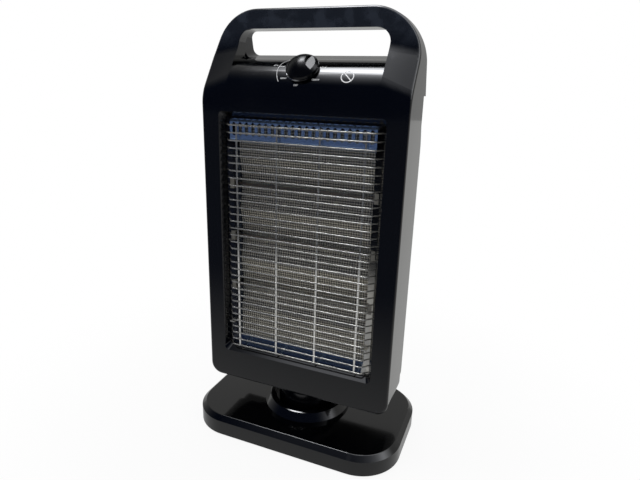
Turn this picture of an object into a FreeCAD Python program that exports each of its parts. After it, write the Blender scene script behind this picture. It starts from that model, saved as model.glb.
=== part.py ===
import FreeCAD, Part
import math
import os
from FreeCAD import Vector

# Swivelling radiant heater, in millimetres: +X right, -Y front, +Z up, origin on the floor at the swivel axis

# Base
BASE_WIDTH = 306.0
BASE_DEPTH = 188.0
BASE_CORNER = 58.0
BASE_HEIGHT = 30.0
BASE_CHAMFER = 6.5
BASE_EDGE_ROUND = 1.5
BASE_WALL = 2.5
PLATE_THICK = 2.0
PLATE_GAP = 0.3
FOOT_RADIUS = 11.0
FOOT_HEIGHT = 2.5
FOOT_INSET_X = 41.0
FOOT_INSET_Y = 36.0
BALLAST_SIDE_INSET = 53.0
BALLAST_DEPTH = 44.0
BALLAST_THICK = 7.0
BALLAST_INSET = 16.0
BALLAST_CORNER = 10.0

# Swivel joint
SPINDLE_RADIUS = 12.0
SPINDLE_BORE = 8.0
RUNNING_GAP = 0.05
MOVING_GAP = 0.4
BUSH_WALL = 3.0
BUSH_FLANGE_RADIUS = 28.0
BUSH_FLANGE_THICK = 2.0
SOCKET_WALL = 3.5
SOCKET_DEPTH = 14.0
SPINDLE_FLANGE_RADIUS = 26.0
SPINDLE_FLANGE_THICK = 3.0
HUB_RADIUS = 17.0
HUB_RISE = 1.6
NUT_RADIUS = 17.0
NUT_THICK = 4.0
COLLAR_RADIUS = 63.0
COLLAR_TOP_RADIUS = 56.0
COLLAR_INNER_RADIUS = 47.5
COLLAR_STEP = 4.0
COLLAR_HEIGHT = 15.0
COLLAR_BEVEL = 1.5
NECK_RADIUS = 43.0
NECK_TOP_RADIUS = 45.0
NECK_FLARE_HEIGHT = 8.0
NECK_WALL = 2.5
NECK_FLOAT = 1.5

# Swing drive
SWING_ANGLE = 30.0
MOTOR_OFFSET = 42.0
MOTOR_RADIUS = 21.0
MOTOR_DEPTH = 10.0
MOTOR_SHAFT_RADIUS = 3.0
CRANK_THICK = 2.0
CRANK_RIM = 4.5
CRANK_PIN_RADIUS = 2.0
ARM_THICK = 1.6
ARM_WIDTH = 15.0
ARM_SLOT_PLAY = 1.6

# Tip-over switch
TIP_INSET_X = 83.0
TIP_INSET_Y = 42.0
TIP_TRAVEL = 4.0
TIP_FOOT_RADIUS = 9.0
TIP_STEM_RADIUS = 4.0
TIP_FLANGE_RADIUS = 6.5
TIP_FLANGE_THICK = 1.5
TIP_STOP_GAP = 0.6
TIP_SWITCH_LENGTH = 28.0
TIP_SWITCH_WIDTH = 12.0
TIP_SWITCH_GAP = 0.3

# Cord gland in the rear wall of the base
GLAND_INSET = 91.0
GLAND_Z = 13.0
GLAND_RADIUS = 5.2
GLAND_BORE = 3.6
GLAND_FLANGE_RADIUS = 7.4
GLAND_FLANGE_THICK = 2.5

# Head: outline seen from the front
HEAD_WIDTH = 270.0
HEAD_BOTTOM = 72.5
HEAD_TOP = 575.5
HEAD_LOW_CORNER = 17.0
HEAD_TOP_CORNER = 61.0
HEAD_WALL = 2.5
FRONT_Y = -54.0
HANDLE_FRONT_Y = -18.0
STEP_SLOPE = 36.0
SIDE_STEP_DROP = 14.0
SIDE_STEP_SLOPE = 32.0
STEP_HOLLOW = 36.0
SIDE_REAR_Y = 13.5
HANDLE_SPLIT_Y = -3.0
HANDLE_SPLIT_Z = 478.0
FRONT_EDGE_ROUND = 4.0

# Rear cover
REAR_INSET = 4.0
REAR_LIP = 5.0
REAR_Y = 46.0
REAR_KNEE_Z = 420.0
REAR_TOP_Y = 6.0
REAR_KNEE_ROUND = 80.0
REAR_FOOT_ROUND = 16.0
REAR_EDGE_ROUND = 7.0
VENT_LENGTH = 78.0
VENT_WIDTH = 5.5
VENT_PITCH = 16.0
VENT_ROWS = 6
VENT_COLUMN_X = 50.0
VENT_LOW_Z = 118.0
VENT_HIGH_Z = 300.0

# Handle opening and control fascia
HOLE_WIDTH = 197.0
HOLE_TOP_Z = 552.0
HOLE_FLOOR_Z = 517.5
HOLE_FLOOR_RISE = 11.5
HOLE_TOP_CORNER = 17.0
HOLE_LOW_CORNER = 4.0
HOLE_REAR_CORNER = 9.0
FASCIA_ROLL = 47.0

# Window recess
WINDOW_WIDTH = 219.6
WINDOW_LOW_Z = 116.4
WINDOW_HIGH_Z = 452.8
WINDOW_CORNER = 6.5
BEVEL_SIDE = 4.8
BEVEL_LOW = 7.0
BEVEL_TOP = 5.8
BEVEL_DEPTH = 8.5
TUNNEL_LENGTH = 2.5
TUNNEL_WALL = 2.2
TUNNEL_CORNER = 4.5

# Reflector
SHEET = 0.8
SEAT_GAP = 0.1
FLANGE_LAP = 4.0
FLARE_MARGIN = 0.5
FLARE_RUN = 10.5
FLARE_DEPTH = 8.0
TRAY_DEPTH = 19.0
EMBOSS_SHEET = 0.6
EMBOSS_GAP = 0.3
TROUGH_DEPTH = 7.0

# Lamps
LAMP_COUNT = 3
LAMP_PITCH = 72.0
LAMP_CENTRE_Z = 287.0
LAMP_Y = -34.5
LAMP_RADIUS = 5.0
LAMP_GLASS = 1.0
LAMP_HALF_LENGTH = 97.0
FILAMENT_RADIUS = 0.8
CAP_SIZE = 13.0
CAP_LENGTH = 15.0
LAMP_HOLE_GAP = 0.5
LAMP_BRACKET_THICK = 1.2
LAMP_BRACKET_SETBACK = 13.5
LAMP_BRACKET_FOOT = 34.0
LAMP_BRACKET_END = 22.0

# Deflector
DEFLECTOR_WIDTH = 195.6
DEFLECTOR_FRONT_Y = -46.5
DEFLECTOR_LOW_Z = 415.0
DEFLECTOR_HIGH_Z = 444.0
DEFLECTOR_BEND = 4.0
SLOT_COUNT = 21
SLOT_PITCH = 9.2
SLOT_WIDTH = 5.0
SLOT_LOW_Z = 423.0
SLOT_HIGH_Z = 439.5
SLOT_CHAMFER = 1.6
SLOT_LAND = 1.6

# Grille
WIRE_RADIUS = 1.2
WIRE_COUNT = 33
WIRE_PITCH = 9.62
WIRE_LOW_Z = 128.0
WIRE_FRONT_Y = -53.9
WIRE_END_GAP = 1.0
WIRE_RETURN_X = 8.0
WIRE_SIDES = 6
UPRIGHT_COUNT = 4
UPRIGHT_INSET = 9.4
UPRIGHT_RADIUS = 1.5
CLIP_ROW = 3.5
CLIP_WIDTH = 7.0
CLIP_THICK = 2.0
CLIP_LAP = 1.0

# Knob and switch
KNOB_ANGLE = 46.0
KNOB_RADIUS = 19.8
KNOB_SKIRT = 3.0
KNOB_SHOULDER = 2.4
KNOB_SHOULDER_RISE = 2.6
KNOB_DOME = 6.9
KNOB_BAR = 9.0
KNOB_LIFT = 0.6
POCKET_RADIUS = 12.0
POCKET_SHIFT = 3.0
POCKET_LEAN = 12.0
POCKET_SINK = 0.4
POCKET_WALL = 0.5
BEZEL_RADIUS = 21.6
BEZEL_RIM = 1.6
BEZEL_SKIRT = 8.0
SHAFT_RADIUS = 3.0
SHAFT_GRIP = 9.0
SWITCH_BODY = 30.0
SWITCH_DEPTH = 22.0
SWITCH_BUSH_RADIUS = 6.5
SWITCH_BUSH_LENGTH = 9.0

# Inner pieces of the head
BRACKET_WIDTH = 96.0
BRACKET_THICK = 2.0
BRACKET_HEIGHT = 90.0
BRACKET_FRONT_Y = -40.0
BRACKET_REAR_Y = 7.0
CUTOUT_RADIUS = 8.0
CUTOUT_HEIGHT = 7.0
CUTOUT_X = 38.0
CUTOUT_Z = 250.0
TERMINAL_LENGTH = 42.0
TERMINAL_DEPTH = 12.0
TERMINAL_HEIGHT = 14.0
TERMINAL_POLES = 4
TERMINAL_WELL = 6.0
TERMINAL_X = -26.0

# Values worked out from the driving dimensions
X_AXIS = Vector(1, 0, 0)
Y_AXIS = Vector(0, 1, 0)
Z_AXIS = Vector(0, 0, 1)
CENTRE = Vector(0, 0, 0)
PLATE_TOP = FOOT_HEIGHT + PLATE_THICK
FOOT_X = BASE_WIDTH / 2 - FOOT_INSET_X
FOOT_Y = BASE_DEPTH / 2 - FOOT_INSET_Y
BALLAST_WIDTH = BASE_WIDTH - 2 * BALLAST_SIDE_INSET
BALLAST_CENTRE_Y = BALLAST_DEPTH / 2 + BALLAST_INSET - BASE_DEPTH / 2
TIP_X = TIP_INSET_X - BASE_WIDTH / 2
TIP_Y = BASE_DEPTH / 2 - TIP_INSET_Y
GLAND_X = BASE_WIDTH / 2 - GLAND_INSET
BASE_CEILING = BASE_HEIGHT - BASE_WALL
BUSH_RADIUS = SPINDLE_RADIUS + RUNNING_GAP + BUSH_WALL
SOCKET_LOW_Z = BASE_HEIGHT - SOCKET_DEPTH
BUSH_TOP = BASE_HEIGHT + BUSH_FLANGE_THICK
HUB_TOP = SOCKET_LOW_Z - MOVING_GAP
ARM_TOP = HUB_TOP - HUB_RISE
CRANK_RADIUS = MOTOR_OFFSET * math.tan(math.radians(SWING_ANGLE))
ARM_SLOT_NEAR = math.hypot(MOTOR_OFFSET, CRANK_RADIUS)
ARM_SLOT_FAR = MOTOR_OFFSET + CRANK_RADIUS
CRANK_LOW = ARM_TOP + MOVING_GAP
MOTOR_LOW = BASE_CEILING - MOTOR_DEPTH
HEAD_INNER_BOTTOM = HEAD_BOTTOM + HEAD_WALL
BRACKET_BASE_TOP = HEAD_INNER_BOTTOM + BRACKET_THICK
HEAD_HALF = HEAD_WIDTH / 2
HOLE_HALF = HOLE_WIDTH / 2
FASCIA_CENTRE_Y = FRONT_Y + FASCIA_ROLL
FASCIA_CENTRE_Z = HOLE_FLOOR_Z - FASCIA_ROLL
STEP_Z = FASCIA_CENTRE_Z + FASCIA_ROLL * math.tan(math.radians(STEP_SLOPE / 2))
TUNNEL_HALF = WINDOW_WIDTH / 2 - BEVEL_SIDE
TUNNEL_LOW_Z = WINDOW_LOW_Z + BEVEL_LOW
TUNNEL_HIGH_Z = WINDOW_HIGH_Z - BEVEL_TOP
BEVEL_END_Y = FRONT_Y + BEVEL_DEPTH
FLANGE_Y = BEVEL_END_Y + TUNNEL_LENGTH
FLARE_END_Y = FLANGE_Y + FLARE_DEPTH
TRAY_INNER_Y = FLANGE_Y + TRAY_DEPTH
TRAY_BACK_Y = TRAY_INNER_Y + SHEET
FLARE_MOUTH = TUNNEL_HALF - FLARE_MARGIN
PAN_HALF = FLARE_MOUTH - FLARE_RUN
PAN_LOW_Z = TUNNEL_LOW_Z + FLARE_MARGIN + FLARE_RUN
PAN_HIGH_Z = TUNNEL_HIGH_Z - FLARE_MARGIN - FLARE_RUN
LAMP_HEIGHTS = [LAMP_CENTRE_Z + LAMP_PITCH * (i - (LAMP_COUNT - 1) / 2) for i in range(LAMP_COUNT)]
LAMP_BRACKET_X = LAMP_HALF_LENGTH + LAMP_BRACKET_SETBACK
CLIP_Z = WIRE_LOW_Z + WIRE_PITCH * CLIP_ROW
WIRE_HALF_LENGTH = FLARE_MOUTH - WIRE_END_GAP - WIRE_RETURN_X
UPRIGHT_PITCH = 2 * (WIRE_HALF_LENGTH - UPRIGHT_INSET) / (UPRIGHT_COUNT - 1)
KNOB_AXIS = Vector(0, -math.cos(math.radians(KNOB_ANGLE)), math.sin(math.radians(KNOB_ANGLE)))
KNOB_UP = Vector(0, math.sin(math.radians(KNOB_ANGLE)), math.cos(math.radians(KNOB_ANGLE)))
KNOB_SEAT = Vector(0, FASCIA_CENTRE_Y, FASCIA_CENTRE_Z) + KNOB_AXIS * FASCIA_ROLL
FAR = 400.0
OVERRUN = 1.0
TOUCH = 0.01


def box(x_low, x_high, y_low, y_high, z_low, z_high):
    """Box between two corners."""
    return Part.makeBox(x_high - x_low, y_high - y_low, z_high - z_low, Vector(x_low, y_low, z_low))


def cylinder(radius, start, axis, length):
    """Round bar from a start point along an axis."""
    return Part.makeCylinder(radius, length, start, axis)


def rounded_loop(points, radii):
    """Closed loop through the points, each corner rounded by its own radius."""
    count = len(points)
    starts, ends, arcs = [], [], []
    for i, point in enumerate(points):
        back = (points[i - 1] - point).normalize()
        ahead = (points[(i + 1) % count] - point).normalize()
        if radii[i] == 0:
            starts.append(point)
            ends.append(point)
            arcs.append(None)
            continue
        half = back.getAngle(ahead) / 2
        bisector = (back + ahead).normalize()
        reach = radii[i] / math.tan(half)
        middle = point + bisector * (radii[i] / math.sin(half) - radii[i])
        starts.append(point + back * reach)
        ends.append(point + ahead * reach)
        arcs.append(Part.Arc(starts[i], middle, ends[i]).toShape())
    edges = []
    for i in range(count):
        if arcs[i] is not None:
            edges.append(arcs[i])
        following = starts[(i + 1) % count]
        if ends[i].distanceToPoint(following) > 1e-6:
            edges.append(Part.LineSegment(ends[i], following).toShape())
    return Part.Wire(edges)


def front_loop(half, z_low, z_high, low_corner, top_corner, y):
    """Rounded rectangle seen from the front, in the plane of one depth."""
    points = [Vector(-half, y, z_low), Vector(half, y, z_low), Vector(half, y, z_high),
              Vector(-half, y, z_high)]
    return rounded_loop(points, [low_corner, low_corner, top_corner, top_corner])


def plan_prism(half_x, half_y, corner, z_low, z_high):
    """Upright rounded slab about the swivel axis."""
    points = [Vector(sx * half_x, sy * half_y, z_low) for sx, sy in ((-1, -1), (1, -1), (1, 1), (-1, 1))]
    return Part.Face(rounded_loop(points, [corner] * 4)).extrude(Z_AXIS * (z_high - z_low))


def side_prism(pairs, radii, half):
    """Solid with one side profile, given as depth and height, over a width."""
    points = [Vector(-half, y, z) for y, z in pairs]
    return Part.Face(rounded_loop(points, radii)).extrude(X_AXIS * (2 * half))


def revolve(pairs, radii=None):
    """Turned solid from a profile of radius and height about the swivel axis."""
    points = [Vector(r, 0, z) for r, z in pairs]
    face = Part.Face(rounded_loop(points, radii or [0] * len(points)))
    return face.revolve(CENTRE, Z_AXIS, 360)


def facing_edges(solid, sign):
    """Border edges of all faces that look forward (-1) or backward (+1)."""
    counts = {}
    for face in solid.Faces:
        u_low, u_high, v_low, v_high = face.ParameterRange
        normal = face.normalAt((u_low + u_high) / 2, (v_low + v_high) / 2)
        if normal.y * sign < 0.1:
            continue
        for edge in face.Edges:
            entry = counts.setdefault(edge.hashCode(), [0, edge])
            entry[0] += 1
    return [edge for number, edge in counts.values() if number == 1]


def mirrored(shape):
    """The same piece on the other side of the middle plane."""
    return shape.mirror(CENTRE, X_AXIS)


# Base

def base_shell():
    """Rounded slab, hollow from below, with the swivel socket and the hole for the gland."""
    shell = plan_prism(BASE_WIDTH / 2, BASE_DEPTH / 2, BASE_CORNER, FOOT_HEIGHT, BASE_HEIGHT)
    rim = [edge for edge in shell.Edges if edge.BoundBox.ZMin > BASE_HEIGHT - TOUCH]
    shell = shell.makeChamfer(BASE_CHAMFER, rim)
    crest = [edge for edge in shell.Edges if edge.BoundBox.ZMin > BASE_HEIGHT - TOUCH]
    shell = shell.makeFillet(BASE_EDGE_ROUND, crest)
    inner = plan_prism(BASE_WIDTH / 2 - BASE_WALL, BASE_DEPTH / 2 - BASE_WALL, BASE_CORNER - BASE_WALL,
                       FOOT_HEIGHT, BASE_CEILING)
    lid = [edge for edge in inner.Edges if edge.BoundBox.ZMin > BASE_CEILING - TOUCH]
    shell = shell.cut(inner.makeChamfer(BASE_CHAMFER, lid))
    socket = cylinder(BUSH_RADIUS + SOCKET_WALL, Vector(0, 0, SOCKET_LOW_Z), Z_AXIS, SOCKET_DEPTH)
    shell = shell.fuse(socket)
    shell = shell.cut(cylinder(BUSH_RADIUS, Vector(0, 0, SOCKET_LOW_Z), Z_AXIS, SOCKET_DEPTH))
    return shell.cut(cylinder(GLAND_RADIUS, gland_start(), Y_AXIS, FAR)).removeSplitter()


def base_plate():
    """Flat bottom cover with the guide for the tip-over plunger."""
    inset = BASE_WALL + PLATE_GAP
    plate = plan_prism(BASE_WIDTH / 2 - inset, BASE_DEPTH / 2 - inset, BASE_CORNER - inset, FOOT_HEIGHT,
                       PLATE_TOP)
    return plate.cut(cylinder(TIP_STEM_RADIUS + RUNNING_GAP, Vector(TIP_X, TIP_Y, 0), Z_AXIS, FAR))


def foot(x, y):
    """Rubber foot under the base plate, with a softened lower edge."""
    pad = cylinder(FOOT_RADIUS, Vector(x, y, 0), Z_AXIS, FOOT_HEIGHT)
    return pad.makeChamfer(FOOT_HEIGHT / 4, [edge for edge in pad.Edges if edge.BoundBox.ZMax < TOUCH])


def ballast_plate():
    """Steel slab on the base plate, ahead of the swivel."""
    slab = plan_prism(BALLAST_WIDTH / 2, BALLAST_DEPTH / 2, BALLAST_CORNER, PLATE_TOP,
                      PLATE_TOP + BALLAST_THICK)
    slab.translate(Y_AXIS * BALLAST_CENTRE_Y)
    return slab


def gland_start():
    """Inner end of the cord gland."""
    return Vector(GLAND_X, BASE_DEPTH / 2 - BASE_WALL, GLAND_Z)


def cord_gland():
    """Flanged bushing through the rear wall of the base."""
    start = gland_start()
    length = BASE_WALL + GLAND_FLANGE_THICK
    flange = cylinder(GLAND_FLANGE_RADIUS, start + Y_AXIS * BASE_WALL, Y_AXIS, GLAND_FLANGE_THICK)
    gland = flange.fuse(cylinder(GLAND_RADIUS, start, Y_AXIS, length))
    return gland.cut(cylinder(GLAND_BORE, start, Y_AXIS, length)).removeSplitter()


def tip_plunger():
    """Foot, stem and stop flange of the tip-over switch, pressed in as the heater stands."""
    centre = Vector(TIP_X, TIP_Y, 0)
    flange_z = PLATE_TOP + TIP_TRAVEL + TIP_STOP_GAP
    top_z = flange_z + TIP_FLANGE_THICK
    pad = cylinder(TIP_FOOT_RADIUS, centre, Z_AXIS, FOOT_HEIGHT - MOVING_GAP)
    stem = cylinder(TIP_STEM_RADIUS, centre, Z_AXIS, top_z)
    flange = cylinder(TIP_FLANGE_RADIUS, centre + Z_AXIS * flange_z, Z_AXIS, TIP_FLANGE_THICK)
    return pad.fuse(stem).fuse(flange).removeSplitter()


def tip_switch():
    """Snap switch under the ceiling of the base, above the plunger."""
    low_z = PLATE_TOP + TIP_TRAVEL + TIP_STOP_GAP + TIP_FLANGE_THICK + TIP_SWITCH_GAP
    half_length = TIP_SWITCH_LENGTH / 2
    half_width = TIP_SWITCH_WIDTH / 2
    return box(TIP_X - half_length, TIP_X + half_length, TIP_Y - half_width, TIP_Y + half_width, low_z,
               BASE_CEILING)


# Swivel joint

def bearing_bush():
    """Flanged bush in the socket of the base."""
    bore = SPINDLE_RADIUS + RUNNING_GAP
    profile = [(bore, SOCKET_LOW_Z), (BUSH_RADIUS, SOCKET_LOW_Z), (BUSH_RADIUS, BASE_HEIGHT),
               (BUSH_FLANGE_RADIUS, BASE_HEIGHT), (BUSH_FLANGE_RADIUS, BUSH_TOP), (bore, BUSH_TOP)]
    return revolve(profile)


def collar_ring():
    """Tapered trim ring on the base, round the foot of the neck."""
    top = BASE_HEIGHT + COLLAR_HEIGHT
    profile = [(COLLAR_INNER_RADIUS, BASE_HEIGHT), (COLLAR_RADIUS, BASE_HEIGHT),
               (COLLAR_RADIUS, BASE_HEIGHT + COLLAR_STEP), (COLLAR_TOP_RADIUS, top - COLLAR_BEVEL / 2),
               (COLLAR_TOP_RADIUS - COLLAR_BEVEL, top), (COLLAR_INNER_RADIUS + COLLAR_BEVEL, top),
               (COLLAR_INNER_RADIUS, top - COLLAR_BEVEL)]
    return revolve(profile)


def spindle():
    """Hollow shaft that carries the head, with a thrust flange below and a seat flange above."""
    thrust_low = BUSH_TOP + RUNNING_GAP
    thrust_top = thrust_low + SPINDLE_FLANGE_THICK
    seat_low = HEAD_BOTTOM - SPINDLE_FLANGE_THICK
    low = ARM_TOP - ARM_THICK
    top = BRACKET_BASE_TOP + NUT_THICK
    profile = [(SPINDLE_BORE, low), (SPINDLE_RADIUS, low), (SPINDLE_RADIUS, thrust_low),
               (SPINDLE_FLANGE_RADIUS, thrust_low), (SPINDLE_FLANGE_RADIUS, thrust_top),
               (SPINDLE_RADIUS, thrust_top), (SPINDLE_RADIUS, seat_low), (SPINDLE_FLANGE_RADIUS, seat_low),
               (SPINDLE_FLANGE_RADIUS, HEAD_BOTTOM), (SPINDLE_RADIUS, HEAD_BOTTOM), (SPINDLE_RADIUS, top),
               (SPINDLE_BORE, top)]
    return revolve(profile)


def spindle_nut():
    """Hexagonal nut that clamps the head to the spindle."""
    turns = [i * math.pi / 3 for i in range(6)]
    corners = [Vector(NUT_RADIUS * math.cos(turn), NUT_RADIUS * math.sin(turn), BRACKET_BASE_TOP)
               for turn in turns]
    nut = Part.Face(rounded_loop(corners, [0] * 6)).extrude(Z_AXIS * NUT_THICK)
    return nut.cut(cylinder(SPINDLE_RADIUS, Vector(0, 0, BRACKET_BASE_TOP), Z_AXIS, NUT_THICK))


def drive_arm():
    """Slotted lever on the foot of the spindle, swung by the crank pin, its hub keeping the spindle in."""
    low_z = ARM_TOP - ARM_THICK
    half_slot = CRANK_PIN_RADIUS + ARM_SLOT_PLAY
    end = ARM_SLOT_FAR + half_slot
    arm = box(-ARM_WIDTH / 2, ARM_WIDTH / 2, 0, end, low_z, ARM_TOP)
    arm = arm.fuse(cylinder(ARM_WIDTH / 2, Vector(0, end, low_z), Z_AXIS, ARM_THICK))
    arm = arm.fuse(cylinder(HUB_RADIUS, Vector(0, 0, low_z), Z_AXIS, HUB_TOP - low_z))
    near = ARM_SLOT_NEAR - half_slot
    slot = box(-half_slot, half_slot, near, end - half_slot, low_z, ARM_TOP)
    for y in (near, end - half_slot):
        slot = slot.fuse(cylinder(half_slot, Vector(0, y, low_z), Z_AXIS, ARM_THICK))
    arm = arm.cut(slot)
    return arm.cut(cylinder(SPINDLE_RADIUS, Vector(0, 0, low_z), Z_AXIS, HUB_TOP - low_z)).removeSplitter()


def swing_motor():
    """Flat geared motor under the ceiling of the base, with the bore of its output shaft below."""
    centre = Vector(0, MOTOR_OFFSET, MOTOR_LOW)
    can = cylinder(MOTOR_RADIUS, centre, Z_AXIS, MOTOR_DEPTH)
    return can.cut(cylinder(MOTOR_SHAFT_RADIUS + RUNNING_GAP, centre, Z_AXIS, MOTOR_DEPTH / 2))


def swing_crank():
    """Crank on the motor shaft, with the pin that hangs into the slot of the drive arm."""
    centre = Vector(0, MOTOR_OFFSET, CRANK_LOW)
    half = CRANK_PIN_RADIUS + CRANK_RIM
    web = box(-half, half, MOTOR_OFFSET, MOTOR_OFFSET + CRANK_RADIUS, CRANK_LOW, CRANK_LOW + CRANK_THICK)
    for y in (0, CRANK_RADIUS):
        web = web.fuse(cylinder(half, centre + Y_AXIS * y, Z_AXIS, CRANK_THICK))
    pin_low = ARM_TOP - ARM_THICK
    pin = cylinder(CRANK_PIN_RADIUS, Vector(0, MOTOR_OFFSET + CRANK_RADIUS, pin_low), Z_AXIS,
                   CRANK_LOW - pin_low)
    shaft = cylinder(MOTOR_SHAFT_RADIUS, centre, Z_AXIS, MOTOR_LOW + MOTOR_DEPTH / 2 - CRANK_LOW)
    return web.fuse(pin).fuse(shaft).removeSplitter()


def neck_cover():
    """Hollow column between the collar and the head, flared towards the head."""
    low = BASE_HEIGHT + NECK_FLOAT
    flare = HEAD_BOTTOM - NECK_FLARE_HEIGHT
    inner = NECK_RADIUS - NECK_WALL
    inner_top = NECK_TOP_RADIUS - NECK_WALL
    profile = [(inner, low), (NECK_RADIUS, low), (NECK_RADIUS, flare), (NECK_TOP_RADIUS, HEAD_BOTTOM),
               (inner_top, HEAD_BOTTOM), (inner, flare)]
    return revolve(profile)


# Head covers

def head_outline(inset, y):
    """Outline of the head from the front, drawn in by an inset."""
    return front_loop(HEAD_HALF - inset, HEAD_BOTTOM + inset, HEAD_TOP - inset, HEAD_LOW_CORNER - inset,
                      HEAD_TOP_CORNER - inset, y)


def head_prism(inset, y_low, y_high):
    """Head outline drawn out between two depths."""
    return Part.Face(head_outline(inset, y_low)).extrude(Y_AXIS * (y_high - y_low))


def step_loop(x, step_z, slope, inset):
    """Side profile of the front at one width: upright face, slope and step back to the handle."""
    lean = math.radians(slope)
    drop = inset * math.tan(lean / 2)
    top_z = step_z + (HANDLE_FRONT_Y - FRONT_Y) / math.tan(lean)
    face_y = FRONT_Y + inset
    handle_y = HANDLE_FRONT_Y + inset
    low, top = HEAD_BOTTOM - OVERRUN, HEAD_TOP + OVERRUN
    pairs = [(face_y, low), (face_y, step_z - drop), (handle_y, top_z - drop), (handle_y, top), (FAR, top),
             (FAR, low)]
    return rounded_loop([Vector(x, y, z) for y, z in pairs],
                        [0, FASCIA_ROLL - inset, STEP_HOLLOW + inset, 0, 0, 0])


def front_profile(inset):
    """Body behind the front: one profile between the handle's legs, falling away over them to the sides."""
    middle = Part.Face(step_loop(-HOLE_HALF, STEP_Z, STEP_SLOPE, inset)).extrude(X_AXIS * HOLE_WIDTH)
    inner_loop = step_loop(HOLE_HALF, STEP_Z, STEP_SLOPE, inset)
    outer_loop = step_loop(HEAD_HALF + OVERRUN, STEP_Z - SIDE_STEP_DROP, SIDE_STEP_SLOPE, inset)
    leg = Part.makeLoft([inner_loop, outer_loop], True, True)
    return middle.fuse([leg, mirrored(leg)])


def fascia_roll(inset):
    """Rolled control fascia between the handle's legs."""
    low = FASCIA_CENTRE_Z - OVERRUN
    top = HOLE_FLOOR_Z - inset
    pairs = [(FRONT_Y + inset, low), (FRONT_Y + inset, top), (HANDLE_SPLIT_Y, top), (HANDLE_SPLIT_Y, low)]
    return side_prism(pairs, [0, FASCIA_ROLL - inset, 0, 0], HEAD_HALF)


def over_fascia(grow):
    """Space above the rolled fascia, between the handle's legs, grown by a wall."""
    half = HOLE_HALF + grow
    space = box(-half, half, FRONT_Y - 2 * OVERRUN, FASCIA_CENTRE_Y, FASCIA_CENTRE_Z,
                HOLE_TOP_Z - HOLE_TOP_CORNER)
    return space.cut(fascia_roll(grow))


def hole_floor(y):
    """Height of the opening's floor at a depth: level over the fascia, then rising to the rear."""
    run = max(0.0, y - FASCIA_CENTRE_Y)
    return HOLE_FLOOR_Z + HOLE_FLOOR_RISE * run / (REAR_Y - FASCIA_CENTRE_Y)


def handle_hole(grow, y_low, y_high, top_corner, low_corner):
    """Solid that fills the hand opening between two depths, grown by a wall."""
    half = HOLE_HALF + grow
    top = HOLE_TOP_Z + grow
    pairs = [(y_low, hole_floor(y_low) - grow), (y_high, hole_floor(y_high) - grow), (y_high, top),
             (y_low, top)]
    if y_low < FASCIA_CENTRE_Y < y_high:
        pairs.insert(1, (FASCIA_CENTRE_Y, HOLE_FLOOR_Z - grow))
    body = side_prism(pairs, [0] * len(pairs), half)
    ends = [edge for edge in body.Edges if edge.BoundBox.XLength < TOUCH and edge.BoundBox.YLength > TOUCH]
    upper = [edge for edge in ends if edge.BoundBox.ZMin > HOLE_TOP_Z - OVERRUN]
    lower = [edge for edge in ends if edge.BoundBox.ZMax < HOLE_TOP_Z - OVERRUN]
    return body.makeFillet(top_corner + grow, upper).makeFillet(low_corner + grow, lower)


def window_loft(grow, y_front):
    """Bevelled window recess from the front face to the tray, grown by a wall."""
    share = (y_front - FRONT_Y) / BEVEL_DEPTH
    mouth_corner = WINDOW_CORNER + grow
    throat_corner = TUNNEL_CORNER + grow
    outer = front_loop(WINDOW_WIDTH / 2 - BEVEL_SIDE * share + grow, WINDOW_LOW_Z + BEVEL_LOW * share - grow,
                       WINDOW_HIGH_Z - BEVEL_TOP * share + grow, mouth_corner, mouth_corner, y_front)
    inner = front_loop(TUNNEL_HALF + grow, TUNNEL_LOW_Z - grow, TUNNEL_HIGH_Z + grow, throat_corner,
                       throat_corner, BEVEL_END_Y)
    bevel = Part.makeLoft([outer, inner], True, True)
    straight = Part.Face(inner).extrude(Y_AXIS * TUNNEL_LENGTH)
    return bevel.fuse(straight)


def front_cover():
    """Bezel with the window recess, control fascia and front half of the handle."""
    outer = head_prism(0, FRONT_Y - OVERRUN, SIDE_REAR_Y).common(front_profile(0))
    outer = outer.makeFillet(FRONT_EDGE_ROUND, facing_edges(outer, -1))
    inner = head_prism(HEAD_WALL, FRONT_Y - OVERRUN, SIDE_REAR_Y).common(front_profile(HEAD_WALL))
    inner = inner.cut(over_fascia(HEAD_WALL))
    inner = inner.cut(handle_hole(HEAD_WALL, FRONT_Y - 2 * OVERRUN, SIDE_REAR_Y, HOLE_TOP_CORNER,
                                  HOLE_LOW_CORNER))
    inner = inner.cut(window_loft(TUNNEL_WALL, FRONT_Y))
    cover = outer.cut(inner)
    seat = cylinder(NECK_TOP_RADIUS, Vector(0, 0, HEAD_BOTTOM), Z_AXIS, HEAD_WALL)
    cover = cover.fuse(seat)
    cover = cover.cut(handle_hole(0, FRONT_Y - 2 * OVERRUN, SIDE_REAR_Y, HOLE_TOP_CORNER, HOLE_LOW_CORNER))
    cover = cover.cut(over_fascia(0))
    cover = cover.cut(window_loft(0, FRONT_Y - OVERRUN))
    cover = cover.cut(box(-FAR, FAR, HANDLE_SPLIT_Y, FAR, HANDLE_SPLIT_Z, FAR + HEAD_TOP))
    cover = cover.cut(cylinder(SHAFT_RADIUS + MOVING_GAP, KNOB_SEAT - KNOB_AXIS * FASCIA_ROLL / 2, KNOB_AXIS,
                               FASCIA_ROLL))
    return cover.cut(cylinder(SPINDLE_RADIUS, CENTRE, Z_AXIS, FAR)).removeSplitter()


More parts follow.
